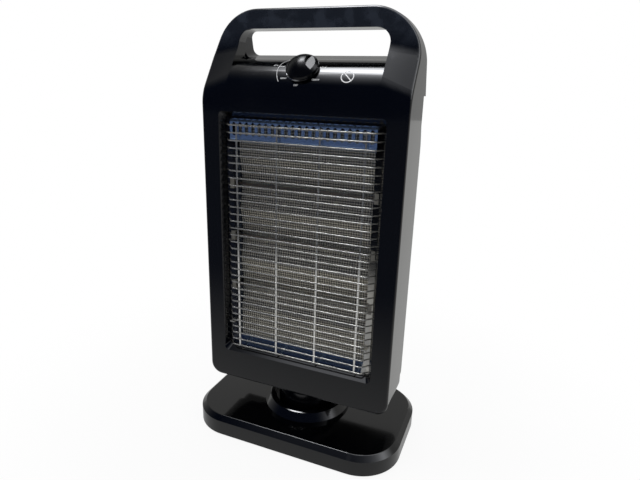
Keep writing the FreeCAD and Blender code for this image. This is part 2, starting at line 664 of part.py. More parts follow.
def rear_profile(inset):
    """Side profile of the rear: upright back, then a slope up to the top of the handle."""
    lean = math.atan2(REAR_Y - REAR_TOP_Y, HEAD_TOP - REAR_KNEE_Z)
    drop = inset * math.tan(lean / 2)
    low = HEAD_BOTTOM + REAR_INSET + inset
    top_y = REAR_TOP_Y - inset / math.cos(lean)
    pairs = [(-FAR, low), (REAR_Y - inset, low), (REAR_Y - inset, REAR_KNEE_Z - drop), (top_y, HEAD_TOP),
             (-FAR, HEAD_TOP)]
    return side_prism(pairs, [0, REAR_FOOT_ROUND - inset, REAR_KNEE_ROUND - inset, 0, 0], FAR)


def rear_solid(side_inset, wall):
    """Part of the head behind the front cover, drawn in by a side inset and a wall."""
    body = head_prism(side_inset + wall, -FAR, REAR_Y + OVERRUN).common(rear_profile(wall))
    if wall == 0:
        body = body.makeFillet(REAR_EDGE_ROUND, facing_edges(body, 1))
    return body


def vent_slot(x, z):
    """Slot through the back wall."""
    half = VENT_LENGTH / 2
    return box(x - half, x + half, REAR_Y - 2 * HEAD_WALL, REAR_Y + OVERRUN, z - VENT_WIDTH / 2,
               z + VENT_WIDTH / 2)


def rear_cover():
    """Narrower back shell with vents, and the flush rear half of the handle above it."""
    low_zone = box(-FAR, FAR, SIDE_REAR_Y - REAR_LIP, FAR, 0, HANDLE_SPLIT_Z)
    high_zone = box(-FAR, FAR, HANDLE_SPLIT_Y, FAR, HANDLE_SPLIT_Z, FAR + HEAD_TOP)
    cover = rear_solid(REAR_INSET, 0).common(low_zone).fuse(rear_solid(0, 0).common(high_zone))
    low_room = box(-FAR, FAR, -FAR, FAR, 0, HANDLE_SPLIT_Z + HEAD_WALL)
    high_room = box(-FAR, FAR, -FAR, FAR, HANDLE_SPLIT_Z + HEAD_WALL, FAR + HEAD_TOP)
    room = rear_solid(REAR_INSET, HEAD_WALL).common(low_room).fuse(rear_solid(0, HEAD_WALL).common(high_room))
    room = room.cut(handle_hole(HEAD_WALL, -FAR, REAR_Y, HOLE_REAR_CORNER, HOLE_REAR_CORNER))
    cover = cover.cut(room)
    cover = cover.cut(handle_hole(0, HANDLE_SPLIT_Y - OVERRUN, REAR_Y, HOLE_REAR_CORNER, HOLE_REAR_CORNER))
    slots = [vent_slot(sx * VENT_COLUMN_X, low + VENT_PITCH * row) for sx in (-1, 1)
             for low in (VENT_LOW_Z, VENT_HIGH_Z) for row in range(VENT_ROWS)]
    cover = cover.cut(slots)
    nut_room = cylinder(NUT_RADIUS + MOVING_GAP, Vector(0, 0, HEAD_BOTTOM), Z_AXIS, BRACKET_HEIGHT)
    return cover.cut(nut_room).removeSplitter()


# Reflector, lamps and grille

def tray_room(shift):
    """Inside of the reflector tray, flared towards the front, grown by a sheet thickness."""
    low, high = TUNNEL_LOW_Z + FLARE_MARGIN, TUNNEL_HIGH_Z - FLARE_MARGIN
    mouth = FLARE_MOUTH + shift
    half = PAN_HALF + shift
    floor, ceiling = PAN_LOW_Z - shift, PAN_HIGH_Z + shift
    flare = Part.makeWedge(-mouth, FLANGE_Y, low - shift, floor, -half,
                           mouth, FLARE_END_Y, high + shift, ceiling, half)
    pan = box(-half, half, FLARE_END_Y, TRAY_INNER_Y + shift, floor, ceiling)
    return flare.fuse(pan)


def lamp_passage(x_low, x_high, half, z):
    """Square bar on the line of one lamp."""
    return box(x_low, x_high, LAMP_Y - half, LAMP_Y + half, z - half, z + half)


def reflector_tray():
    """Polished pan with a flared border and a flange behind the window recess."""
    half = TUNNEL_HALF + FLANGE_LAP
    flange = box(-half, half, FLANGE_Y, FLANGE_Y + SHEET, TUNNEL_LOW_Z - FLANGE_LAP,
                 TUNNEL_HIGH_Z + FLANGE_LAP)
    tray = flange.fuse(tray_room(SHEET)).cut(tray_room(0))
    for z in LAMP_HEIGHTS:
        tray = tray.cut(lamp_passage(-FAR, FAR, CAP_SIZE / 2 + LAMP_HOLE_GAP, z))
    return tray.removeSplitter()


def embossed_reflector():
    """Thin sheet in the tray, dished behind each lamp."""
    front_y = TRAY_INNER_Y - EMBOSS_GAP - EMBOSS_SHEET - TROUGH_DEPTH
    low, high = PAN_LOW_Z + EMBOSS_GAP, PAN_HIGH_Z - EMBOSS_GAP
    half_trough = LAMP_PITCH / 2
    sheet_lines = []
    for offset in (0, EMBOSS_SHEET):
        y = front_y + offset
        line = [Part.LineSegment(Vector(0, y, low), Vector(0, y, LAMP_HEIGHTS[0] - half_trough)).toShape()]
        for z in LAMP_HEIGHTS:
            line.append(Part.Arc(Vector(0, y, z - half_trough), Vector(0, y + TROUGH_DEPTH, z),
                                 Vector(0, y, z + half_trough)).toShape())
        last = Vector(0, y, LAMP_HEIGHTS[-1] + half_trough)
        line.append(Part.LineSegment(last, Vector(0, y, high)).toShape())
        sheet_lines.append(line)
    edges = sheet_lines[0] + sheet_lines[1]
    for z in (low, high):
        edges.append(Part.LineSegment(Vector(0, front_y, z), Vector(0, front_y + EMBOSS_SHEET, z)).toShape())
    face = Part.Face(Part.Wire(Part.__sortEdges__(edges)))
    sheet = face.extrude(X_AXIS * 2 * (PAN_HALF - EMBOSS_GAP))
    sheet.translate(X_AXIS * -(PAN_HALF - EMBOSS_GAP))
    return sheet


def lamp_tube(z):
    """Quartz tube between its two end blocks."""
    start = Vector(-LAMP_HALF_LENGTH, LAMP_Y, z)
    length = 2 * LAMP_HALF_LENGTH
    return cylinder(LAMP_RADIUS, start, X_AXIS, length).cut(
        cylinder(LAMP_RADIUS - LAMP_GLASS, start, X_AXIS, length))


def filament(z):
    """Straight core of the heating coil, held between the end blocks."""
    return cylinder(FILAMENT_RADIUS, Vector(-LAMP_HALF_LENGTH, LAMP_Y, z), X_AXIS, 2 * LAMP_HALF_LENGTH)


def lamp_cap(z):
    """Square ceramic block that holds the right end of a lamp."""
    return lamp_passage(LAMP_HALF_LENGTH, LAMP_HALF_LENGTH + CAP_LENGTH, CAP_SIZE / 2, z)


def lamp_bracket():
    """Upright strip on the right, notched for the ceramic blocks, with a foot on the back of the tray."""
    low = LAMP_HEIGHTS[0] - LAMP_BRACKET_END
    high = LAMP_HEIGHTS[-1] + LAMP_BRACKET_END
    outer_x = LAMP_BRACKET_X + LAMP_BRACKET_THICK
    rear_y = TRAY_BACK_Y + LAMP_BRACKET_THICK
    wall = box(LAMP_BRACKET_X, outer_x, LAMP_Y, rear_y, low, high)
    sole = box(outer_x - LAMP_BRACKET_FOOT, outer_x, TRAY_BACK_Y, rear_y, low, high)
    bracket = wall.fuse(sole)
    for z in LAMP_HEIGHTS:
        bracket = bracket.cut(lamp_passage(LAMP_BRACKET_X, outer_x, CAP_SIZE / 2, z))
    return bracket.removeSplitter()


def top_deflector():
    """Bent sheet across the top of the window, with a row of slots in its face and one in its shelf."""
    rear_y = FLANGE_Y + (TUNNEL_HIGH_Z - FLARE_MARGIN - DEFLECTOR_HIGH_Z) * FLARE_DEPTH / FLARE_RUN - SEAT_GAP
    inner = DEFLECTOR_FRONT_Y + SHEET
    drop = SHEET * math.tan(math.pi / 8)
    pairs = [(DEFLECTOR_FRONT_Y, DEFLECTOR_LOW_Z), (DEFLECTOR_FRONT_Y, DEFLECTOR_HIGH_Z - DEFLECTOR_BEND),
             (DEFLECTOR_FRONT_Y + DEFLECTOR_BEND, DEFLECTOR_HIGH_Z), (rear_y, DEFLECTOR_HIGH_Z),
             (rear_y, DEFLECTOR_HIGH_Z - SHEET),
             (DEFLECTOR_FRONT_Y + DEFLECTOR_BEND + drop, DEFLECTOR_HIGH_Z - SHEET),
             (inner, DEFLECTOR_HIGH_Z - DEFLECTOR_BEND - drop), (inner, DEFLECTOR_LOW_Z)]
    sheet = side_prism(pairs, [0] * len(pairs), DEFLECTOR_WIDTH / 2)
    slots = []
    for i in range(SLOT_COUNT):
        left = SLOT_PITCH * (i - (SLOT_COUNT - 1) / 2) - SLOT_WIDTH / 2
        right = left + SLOT_WIDTH
        pairs = [(left, SLOT_LOW_Z + SLOT_CHAMFER), (left + SLOT_CHAMFER, SLOT_LOW_Z),
                 (right - SLOT_CHAMFER, SLOT_LOW_Z), (right, SLOT_LOW_Z + SLOT_CHAMFER),
                 (right, SLOT_HIGH_Z - SLOT_CHAMFER), (right - SLOT_CHAMFER, SLOT_HIGH_Z),
                 (left + SLOT_CHAMFER, SLOT_HIGH_Z), (left, SLOT_HIGH_Z - SLOT_CHAMFER)]
        corners = [Vector(x, DEFLECTOR_FRONT_Y - OVERRUN, z) for x, z in pairs]
        outline = Part.makePolygon(corners + corners[:1])
        slots.append(Part.Face(outline).extrude(Y_AXIS * (SHEET + 2 * OVERRUN)))
        slots.append(box(left, right, DEFLECTOR_FRONT_Y + DEFLECTOR_BEND / 2, rear_y - SLOT_LAND,
                         DEFLECTOR_HIGH_Z - DEFLECTOR_BEND, DEFLECTOR_HIGH_Z + OVERRUN))
    return sheet.cut(slots)


def wire_ring(centre, across, up, radius):
    """Many-sided section of a wire, flat towards the front and the back."""
    turn = 2 * math.pi / WIRE_SIDES
    corner = radius / math.cos(turn / 2)
    angles = [turn * (i + 0.5) for i in range(WIRE_SIDES)]
    points = [centre + (across * math.cos(angle) + up * math.sin(angle)) * corner for angle in angles]
    return Part.makePolygon(points + points[:1])


def cross_wire(z):
    """Horizontal wire, both ends bent back and outwards to the tray."""
    y = WIRE_FRONT_Y + WIRE_RADIUS
    end_y = FLANGE_Y - WIRE_RADIUS / 2
    end_x = WIRE_HALF_LENGTH + WIRE_RETURN_X
    path = [Vector(-end_x, end_y, z), Vector(-WIRE_HALF_LENGTH, y, z), Vector(WIRE_HALF_LENGTH, y, z),
            Vector(end_x, end_y, z)]
    lean = math.atan2(end_y - y, WIRE_RETURN_X)
    rings = []
    for point, tilt in zip(path, (-lean, -lean / 2, lean / 2, lean)):
        stretch = 1 / math.cos(lean / 2) if abs(tilt) < lean else 1
        across = Vector(-math.sin(tilt), math.cos(tilt), 0) * stretch
        rings.append(wire_ring(point, across, Z_AXIS, WIRE_RADIUS))
    return Part.makeLoft(rings, True, True)


def grille():
    """Welded guard: horizontal wires on four uprights."""
    upright_y = WIRE_FRONT_Y + 2 * WIRE_RADIUS + UPRIGHT_RADIUS
    low = WIRE_LOW_Z - 2 * WIRE_RADIUS
    height = WIRE_PITCH * (WIRE_COUNT - 1) + 4 * WIRE_RADIUS
    uprights = []
    for i in range(UPRIGHT_COUNT):
        foot_point = Vector(UPRIGHT_PITCH * (i - (UPRIGHT_COUNT - 1) / 2), upright_y, low)
        section = Part.Face(wire_ring(foot_point, Y_AXIS, X_AXIS, UPRIGHT_RADIUS))
        uprights.append(section.extrude(Z_AXIS * height))
    wires = [cross_wire(WIRE_LOW_Z + WIRE_PITCH * i) for i in range(WIRE_COUNT)]
    return uprights[0].multiFuse(uprights[1:] + wires)


def grille_clip():
    """Small tab on the right side of the tray that holds the guard."""
    inner_x = WIRE_HALF_LENGTH - CLIP_LAP
    y_low = WIRE_FRONT_Y + 2 * WIRE_RADIUS
    tab = box(inner_x, inner_x + CLIP_WIDTH, y_low, FLARE_END_Y, CLIP_Z - CLIP_THICK / 2,
              CLIP_Z + CLIP_THICK / 2)
    return tab.common(tray_room(0).fuse(box(0, TUNNEL_HALF, FRONT_Y, FLANGE_Y, CLIP_Z - FAR, CLIP_Z + FAR)))


# Knob and switch

def along_knob(distance):
    """Point on the knob's axis, measured outwards from the fascia."""
    return KNOB_SEAT + KNOB_AXIS * distance


def knob():
    """Domed knob with a grip bar left between two leaf-shaped pockets."""
    low = BEZEL_RIM + KNOB_LIFT
    shoulder = low + KNOB_SKIRT + KNOB_SHOULDER_RISE
    crest = shoulder + KNOB_DOME
    dome_reach = KNOB_RADIUS - KNOB_SHOULDER
    dome_radius = (dome_reach ** 2 + KNOB_DOME ** 2) / (2 * KNOB_DOME)
    half_turn = math.atan2(dome_reach, dome_radius - KNOB_DOME) / 2
    corners = [along_knob(height) + X_AXIS * x for x, height in (
        (0, crest), (0, low), (KNOB_RADIUS, low), (KNOB_RADIUS, low + KNOB_SKIRT), (dome_reach, shoulder))]
    dome_middle = (along_knob(crest - dome_radius + dome_radius * math.cos(half_turn))
                   + X_AXIS * (dome_radius * math.sin(half_turn)))
    dome = Part.Arc(corners[-1], dome_middle, corners[0]).toShape()
    body = Part.Face(Part.Wire([Part.makePolygon(corners), dome])).revolve(KNOB_SEAT, KNOB_AXIS, 360)
    lean = math.radians(POCKET_LEAN)
    axis = KNOB_AXIS * math.cos(lean) + X_AXIS * math.sin(lean)
    start = along_knob(shoulder - POCKET_SINK) + X_AXIS * (KNOB_BAR / 2 + POCKET_RADIUS)
    pocket = cylinder(POCKET_RADIUS, start + KNOB_UP * POCKET_SHIFT, axis, 2 * crest)
    pocket = pocket.common(cylinder(dome_reach - POCKET_WALL, along_knob(low), KNOB_AXIS, 2 * crest))
    body = body.cut([pocket, mirrored(pocket)])
    return body.cut(cylinder(SHAFT_RADIUS, along_knob(low), KNOB_AXIS, SHAFT_GRIP))


def knob_bezel():
    """Ring that carries the knob's edge on the rolled fascia."""
    disc = cylinder(BEZEL_RADIUS, along_knob(-BEZEL_SKIRT), KNOB_AXIS, BEZEL_SKIRT + BEZEL_RIM)
    disc = disc.cut(fascia_roll(0))
    return disc.cut(cylinder(SHAFT_RADIUS + MOVING_GAP, along_knob(-FASCIA_ROLL), KNOB_AXIS, 2 * FASCIA_ROLL))


def switch_shaft():
    """Shaft from the rotary switch to the knob."""
    start = -HEAD_WALL - SWITCH_BUSH_LENGTH
    length = BEZEL_RIM + KNOB_LIFT + SHAFT_GRIP - start
    return cylinder(SHAFT_RADIUS, along_knob(start), KNOB_AXIS, length)


def rotary_switch():
    """Square switch body with a round bush behind the fascia."""
    bush_low = -HEAD_WALL - SWITCH_BUSH_LENGTH
    half = SWITCH_BODY / 2
    corner = along_knob(bush_low) - X_AXIS * half - KNOB_UP * half
    loop = Part.makePolygon([corner, corner + X_AXIS * SWITCH_BODY,
                             corner + X_AXIS * SWITCH_BODY + KNOB_UP * SWITCH_BODY,
                             corner + KNOB_UP * SWITCH_BODY, corner])
    body = Part.Face(loop).extrude(KNOB_AXIS * -SWITCH_DEPTH)
    bush = cylinder(SWITCH_BUSH_RADIUS, along_knob(bush_low), KNOB_AXIS, SWITCH_BUSH_LENGTH)
    bush = bush.common(fascia_roll(HEAD_WALL))
    bore = cylinder(SHAFT_RADIUS + RUNNING_GAP, along_knob(bush_low), KNOB_AXIS, FASCIA_ROLL)
    return body.fuse(bush).cut(bore)


# Inner pieces of the head

def head_bracket():
    """Angle plate on the floor of the head, its upright carrying the tray."""
    half = BRACKET_WIDTH / 2
    sole = box(-half, half, BRACKET_FRONT_Y, BRACKET_REAR_Y, HEAD_INNER_BOTTOM, BRACKET_BASE_TOP)
    upright = box(-half, half, TRAY_BACK_Y, TRAY_BACK_Y + BRACKET_THICK, HEAD_INNER_BOTTOM,
                  HEAD_INNER_BOTTOM + BRACKET_HEIGHT)
    bracket = sole.fuse(upright)
    return bracket.cut(cylinder(SPINDLE_RADIUS, CENTRE, Z_AXIS, FAR)).removeSplitter()


def thermal_cutout():
    """Disc thermostat on the back of the tray, with two terminals."""
    start = Vector(CUTOUT_X, TRAY_BACK_Y, CUTOUT_Z)
    can = cylinder(CUTOUT_RADIUS, start, Y_AXIS, CUTOUT_HEIGHT)
    for side in (-1, 1):
        x = CUTOUT_X + side * CUTOUT_RADIUS / 2
        y = TRAY_BACK_Y + CUTOUT_HEIGHT
        can = can.fuse(box(x - SHEET / 2, x + SHEET / 2, y - SHEET, y + CUTOUT_HEIGHT,
                           CUTOUT_Z - CUTOUT_RADIUS / 3, CUTOUT_Z + CUTOUT_RADIUS / 3))
    return can


def terminal_block():
    """Row of screw terminals on the bracket's upright."""
    front = TRAY_BACK_Y + BRACKET_THICK
    low = HEAD_INNER_BOTTOM + BRACKET_HEIGHT - 2 * TERMINAL_HEIGHT
    left = TERMINAL_X - TERMINAL_LENGTH / 2
    block = box(left, left + TERMINAL_LENGTH, front, front + TERMINAL_DEPTH, low, low + TERMINAL_HEIGHT)
    pitch = TERMINAL_LENGTH / TERMINAL_POLES
    for i in range(TERMINAL_POLES):
        x = left + pitch * (i + 0.5)
        block = block.cut(box(x - TERMINAL_WELL / 2, x + TERMINAL_WELL / 2, front + TERMINAL_DEPTH / 2,
                              front + TERMINAL_DEPTH, low + TERMINAL_WELL / 2, low + TERMINAL_HEIGHT))
    return block


def all_nodes():
    """Every piece by name."""
    nodes = {
        "base_shell": base_shell(), "base_plate": base_plate(), "ballast_plate": ballast_plate(),
        "cord_gland": cord_gland(), "tip_switch": tip_switch(), "tip_plunger": tip_plunger(),
        "bearing_bush": bearing_bush(), "collar_ring": collar_ring(), "swing_motor": swing_motor(),
        "swing_crank": swing_crank(), "spindle": spindle(), "spindle_nut": spindle_nut(),
        "drive_arm": drive_arm(), "neck_cover": neck_cover(), "head_bracket": head_bracket(),
        "front_cover": front_cover(), "rear_cover": rear_cover(), "reflector_tray": reflector_tray(),
        "embossed_reflector": embossed_reflector(), "top_deflector": top_deflector(), "grille": grille(),
        "knob": knob(), "knob_bezel": knob_bezel(), "switch_shaft": switch_shaft(),
        "rotary_switch": rotary_switch(), "thermal_cutout": thermal_cutout(),
        "terminal_block": terminal_block(),
    }
    for side, turn in (("right", lambda shape: shape), ("left", mirrored)):
        nodes["lamp_bracket_" + side] = turn(lamp_bracket())
        nodes["grille_clip_" + side] = turn(grille_clip())
        for number, z in enumerate(LAMP_HEIGHTS, 1):
            nodes["lamp_cap_%s_%d" % (side, number)] = turn(lamp_cap(z))
    for number, z in enumerate(LAMP_HEIGHTS, 1):
        nodes["lamp_tube_%d" % number] = lamp_tube(z)
        nodes["filament_%d" % number] = filament(z)
    for number, (sx, sy) in enumerate(((-1, -1), (1, -1), (-1, 1), (1, 1)), 1):
        nodes["foot_%d" % number] = foot(sx * FOOT_X, sy * FOOT_Y)
    return nodes


os.makedirs("parts", exist_ok=True)
for name, shape in all_nodes().items():
    shape.exportStep("parts/%s.step" % name)
    print(name, shape.ShapeType, len(shape.Solids), "valid" if shape.isValid() else "NOT VALID",
          round(shape.Volume / 1000, 2), "cm3")
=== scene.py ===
"""Finishes, wires, print and stage of a swivelling radiant heater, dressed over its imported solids."""

import math

import bmesh
import bpy
import numpy as np
from bpy.props import FloatProperty, FloatVectorProperty, IntProperty, PointerProperty
from mathutils import Matrix, Vector


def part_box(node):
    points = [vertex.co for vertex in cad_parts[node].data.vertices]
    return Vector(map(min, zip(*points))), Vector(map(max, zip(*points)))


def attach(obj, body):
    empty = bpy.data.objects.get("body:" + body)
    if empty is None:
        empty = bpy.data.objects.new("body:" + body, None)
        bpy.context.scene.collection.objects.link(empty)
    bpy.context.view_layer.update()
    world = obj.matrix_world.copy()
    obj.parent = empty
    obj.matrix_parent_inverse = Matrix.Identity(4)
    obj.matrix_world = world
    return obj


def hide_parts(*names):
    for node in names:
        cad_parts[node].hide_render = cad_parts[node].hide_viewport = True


bl_info = {
    "name": "Swivelling radiant heater",
    "version": (1, 0, 0),
    "blender": (4, 5, 0),
    "location": "View3D > Sidebar > Heater",
    "description": "Dresses the solids of a swivelling radiant heater and sets its stage",
    "category": "Object",
}

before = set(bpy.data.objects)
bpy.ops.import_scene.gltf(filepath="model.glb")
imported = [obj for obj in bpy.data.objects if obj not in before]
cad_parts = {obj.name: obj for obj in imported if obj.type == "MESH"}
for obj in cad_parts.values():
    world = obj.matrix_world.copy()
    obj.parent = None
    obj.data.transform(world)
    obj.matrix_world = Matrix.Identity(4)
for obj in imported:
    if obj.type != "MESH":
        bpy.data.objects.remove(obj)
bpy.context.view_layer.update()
GUARD_LOW, GUARD_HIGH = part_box("grille")
SHEET_LOW, SHEET_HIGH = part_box("embossed_reflector")
LAMP_NUMBERS = (1, 2, 3)
LAMPS = [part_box("lamp_tube_%d" % number) for number in LAMP_NUMBERS]
LAMP_LEVELS = [(low.z + high.z) / 2 for low, high in LAMPS]
BACK_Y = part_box("rear_cover")[1].y
PLATE_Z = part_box("base_plate")[0].z
KNOB_LEAN = math.radians(46)
KNOB_AXIS = Vector((0.0, -math.cos(KNOB_LEAN), math.sin(KNOB_LEAN)))
KNOB_UP = Vector((0.0, math.sin(KNOB_LEAN), math.cos(KNOB_LEAN)))
FASCIA_RISE, FASCIA_RUN = 11.5, 53.0
MERGE = 1e-6


# Sizes and colours that a user would change

def length(name, description, default):
    """A length in metres."""
    return FloatProperty(name=name, description=description, default=default, unit="LENGTH", precision=5)


def colour(name, description, default):
    """A plain colour."""
    return FloatVectorProperty(name=name, description=description, default=default, subtype="COLOR", size=3,
                               min=0.0, max=1.0)


class GuardSizes(bpy.types.PropertyGroup):
    """Sizes of the wire guard."""

    wire_radius: length("Wire radius", "Half the thickness of a cross wire", 0.0010)
    upright_radius: length("Upright radius", "Half the thickness of an upright", 0.0012)
    half_length: length("Half length", "From the middle to the bend of a cross wire", 0.0955)
    bend: length("Bend", "Radius at which a cross wire turns back", 0.0032)
    bow: length("Bow", "Most that a cross wire strays from a straight line", 0.00025)
    upright_pitch: length("Upright pitch", "Distance between uprights", 0.0574)
    rows: IntProperty(name="Rows", description="Number of cross wires", default=33, min=2)
    uprights: IntProperty(name="Uprights", description="Number of uprights", default=4, min=2)
    sides: IntProperty(name="Sides", description="Faces round a wire", default=12, min=6)


class SheetSizes(bpy.types.PropertyGroup):
    """Sizes of the embossed reflector sheet."""

    thickness: length("Thickness", "Thickness of the sheet", 0.0006)
    trough: length("Trough", "Depth of the dish behind a lamp", 0.005)
    pattern: length("Pattern", "Repeat of the embossed dimples", 0.0034)
    relief: length("Relief", "Height of the dimples", 0.0010)


class LampSizes(bpy.types.PropertyGroup):
    """Sizes of the heating coils."""

    coil_radius: length("Coil radius", "Radius of the coil's turns", 0.0016)
    coil_wire: length("Coil wire", "Half the thickness of the coil's wire", 0.00028)
    coil_pitch: length("Coil pitch", "Distance between turns", 0.0018)


class PrintSizes(bpy.types.PropertyGroup):
    """Sizes of the print round the knob."""

    letter: length("Letter height", "Height of the lettering", 0.0023)
    line: length("Line width", "Width of a printed line", 0.0006)
    raised: length("Thickness", "How far the ink stands above the surface", 0.00008)
    roll_radius: length("Roll radius", "Radius of the rolled fascia", 0.047)
    roll_y: length("Roll depth", "Depth of the roll's centre line", -0.007)
    roll_z: length("Roll height", "Height of the roll's centre line", 0.4705)
    floor_lean: FloatProperty(name="Floor lean", description="Rise of the floor behind the roll",
                              default=math.atan2(FASCIA_RISE, FASCIA_RUN), subtype="ANGLE")


class RingSizes(bpy.types.PropertyGroup):
    """Sizes of the ring under the knob."""

    inner: length("Inner radius", "Radius of the ring's opening", 0.008)
    stem: length("Stem radius", "Radius of the stem that carries the ring", 0.0135)
    plate: length("Plate", "Thickness of the ring", 0.0011)
    outer: length("Outer radius", "Radius of the ring", 0.0203)
    rise: length("Rise", "Height of the ring above its seat", 0.0016)
    bevel: length("Bevel", "Width of the bevel on the outer edge", 0.0003)


class ScrewSizes(bpy.types.PropertyGroup):
    """Sizes of the cross-head screws."""

    head_radius: length("Head radius", "Radius of a screw head", 0.0036)
    head_rise: length("Head rise", "Height of a screw head", 0.0017)
    cross_width: length("Cross width", "Width of the cross recess", 0.0011)
    cross_depth: length("Cross depth", "Depth of the cross recess", 0.0011)


class FinishColours(bpy.types.PropertyGroup):
    """Colours of the finishes."""

    case: colour("Case", "Gloss moulded plastic", (0.0004, 0.0005, 0.0008))
    # Blue of the polished sheet: a painted reflection of the dim blue room ahead
    sheet: colour("Polished sheet", "Polished aluminium", (0.44, 0.64, 1.00))
    emboss: colour("Embossed sheet", "Embossed aluminium", (0.90, 0.85, 0.71))
    wire: colour("Wire", "Bright plated wire", (0.60, 0.59, 0.55))
    ink: colour("Ink", "Printed lettering", (0.90, 0.91, 0.93))
    steel: colour("Steel", "Zinc-plated steel", (0.55, 0.56, 0.57))


class StageLook(bpy.types.PropertyGroup):
    """Camera, light and floor."""

    camera_place: FloatVectorProperty(name="Camera place", description="Where the camera stands", size=3,
                                      default=(0.2561, -0.6080, 0.48435), subtype="TRANSLATION")
    camera_turn: FloatVectorProperty(name="Camera turn", size=3, subtype="EULER",
                                     description="Azimuth, elevation and roll of the camera",
                                     default=tuple(map(math.radians, (21.846, 16.945, 1.7335))))
    lens: FloatProperty(name="Lens", description="Focal length on a 36 mm sensor", default=28.131,
                        subtype="DISTANCE_CAMERA")
    lamp_power: FloatProperty(name="Softbox power", description="Power of the overhead softbox", default=2.5,
                              subtype="POWER")
    floor: colour("Floor", "Pale floor", (0.92, 0.92, 0.92))
    room: colour("Room", "Dim room ahead of the heater", (0.014, 0.024, 0.058))


# Shader expressions

class Tone:
    """A value in a node tree: arithmetic on it adds Math nodes."""

    def __init__(self, finish, socket):
        self.finish = finish
        self.socket = socket

    def math(self, operation, *terms):
        """One Math node on one or two terms."""
        return self.finish.tone("ShaderNodeMath", {"operation": operation}, dict(enumerate(terms)))

    def __add__(self, other):
        return self.math("ADD", self, other)

    def __sub__(self, other):
        return self.math("SUBTRACT", self, other)

    def __rsub__(self, other):
        return self.math("SUBTRACT", other, self)

    def __mul__(self, other):
        return self.math("MULTIPLY", self, other)

    def __truediv__(self, other):
        return self.math("DIVIDE", self, other)

    def __rtruediv__(self, other):
        return self.math("DIVIDE", other, self)

    def __pow__(self, other):
        return self.math("POWER", self, other)

    __radd__ = __add__
    __rmul__ = __mul__

    def cosine(self):
        """Cosine of an angle in radians."""
        return self.math("COSINE", self)

    def rise(self, low, high):
        """Smooth step from 0 at low to 1 at high."""
        return self.finish.tone("ShaderNodeMapRange", {"interpolation_type": "SMOOTHSTEP"},
                                {"Value": self, "From Min": low, "From Max": high})

    def apart(self, low, high):
        """Smooth step on the distance from zero, to either side."""
        return (self * self).rise(low ** 2, high ** 2)


class Finish:
    """Node tree of one finish, and the expressions that shape it."""

    def __init__(self, tree):
        self.tree = tree
        self.tree.nodes.clear()

    def node(self, kind, settings=None, sockets=None):
        """A node of a kind, its settings set first, then its socket values and links."""
        made = self.tree.nodes.new(kind)
        for key, value in (settings or {}).items():
            setattr(made, key, value)
        for key, value in (sockets or {}).items():
            if isinstance(value, Tone):
                self.tree.links.new(value.socket, made.inputs[key])
            else:
                made.inputs[key].default_value = value
        return made

    def tone(self, kind, settings=None, sockets=None, output=0):
        """One output of a new node."""
        return Tone(self, self.node(kind, settings, sockets).outputs[output])

    def place(self):
        """Object coordinates."""
        return self.tone("ShaderNodeTexCoord", output="Object")

    def parts(self, vector):
        """The three numbers of a vector."""
        split = self.node("ShaderNodeSeparateXYZ", sockets={0: vector})
        return [Tone(self, socket) for socket in split.outputs]

    def stretched(self, vector, scale):
        """Coordinates scaled."""
        return self.tone("ShaderNodeMapping", {}, {"Vector": vector, "Scale": scale})

    def noise(self, vector, scale, detail=2.0):
        """Cloudy noise from 0 to 1."""
        return self.tone("ShaderNodeTexNoise", {}, {"Vector": vector, "Scale": scale, "Detail": detail})

    def cells(self, vector, scale):
        """Cell pattern: a colour for each cell."""
        return self.tone("ShaderNodeTexVoronoi", {}, {"Vector": vector, "Scale": scale}, "Color")

    def mix(self, share, first, second):
        """Colour between two colours."""
        first, second = (c if isinstance(c, Tone) else (*c, 1.0)[:4] for c in (first, second))
        return self.tone("ShaderNodeMix", {"data_type": "RGBA"}, {0: share, 6: first, 7: second}, 2)

    def bump(self, height, strength, distance):
        """Surface normal bent by a height."""
        return self.tone("ShaderNodeBump", {}, {"Height": height, "Strength": strength, "Distance": distance})

    def rays(self):
        """Whether the camera sees the surface, and whether gloss or glass does."""
        path = self.node("ShaderNodeLightPath").outputs
        kinds = ("Camera", "Glossy", "Transmission")
        seen, glossy, through = (Tone(self, path["Is %s Ray" % kind]) for kind in kinds)
        return seen, glossy + through

    def close(self, shader, kind="ShaderNodeOutputMaterial"):
        """Ends the tree with a shader."""
        self.node(kind, sockets={"Surface": shader})


def material(name, recipe):
    """A material whose main shader takes the sockets that the recipe gives."""
    made = bpy.data.materials.new(name)
    made.use_nodes = True
    finish = Finish(made.node_tree)
    sockets = recipe(finish)
    finish.close(finish.tone("ShaderNodeBsdfPrincipled", {}, sockets))
    return made


def colours():
    """The colours that the user set."""
    return bpy.context.scene.heater_colours


def deeper(shade, share):
    """A colour times a number."""
    return tuple(channel * share for channel in shade)


# Finishes: tints that several share, and where a tint begins and ends, in metres across (X) or up (Z)

DUST = (0.0020, 0.0020, 0.0025)
# Painted sheen: a pale bluish tint over the handle, between the heights below, stands in for reflected light
PAINTED_SHEEN = (0.0215, 0.0257, 0.0345)
PAINTED_SHEEN_Z = (0.522, 0.556)
# Tray: painted shade on its sides, foot and top, and a painted highlight low on its right side
TRAY_SHADED_SIDE_X = (0.0925, 0.0945)
TRAY_HIGHLIGHT_X = (0.0, 0.05)
TRAY_HIGHLIGHT_Z = (0.30, 0.22)
TRAY_FOOT_SHADE_Z = (0.138, 0.132)
TRAY_TOP_SHADE_Z = (0.404, 0.412)
HEAT_REACH = 0.022
# Uprights with a painted highlight low down: their band across, the heights of the highlight, and the blur of
# the mask
UPRIGHT_X = (0.093, 0.091)
UPRIGHT_HIGHLIGHT_Z = (0.30, 0.24)
UPRIGHT_BLUR = 0.0001
# Painted highlight: the ring is silver left of these
RING_HIGHLIGHT_X = (0.004, -0.010)


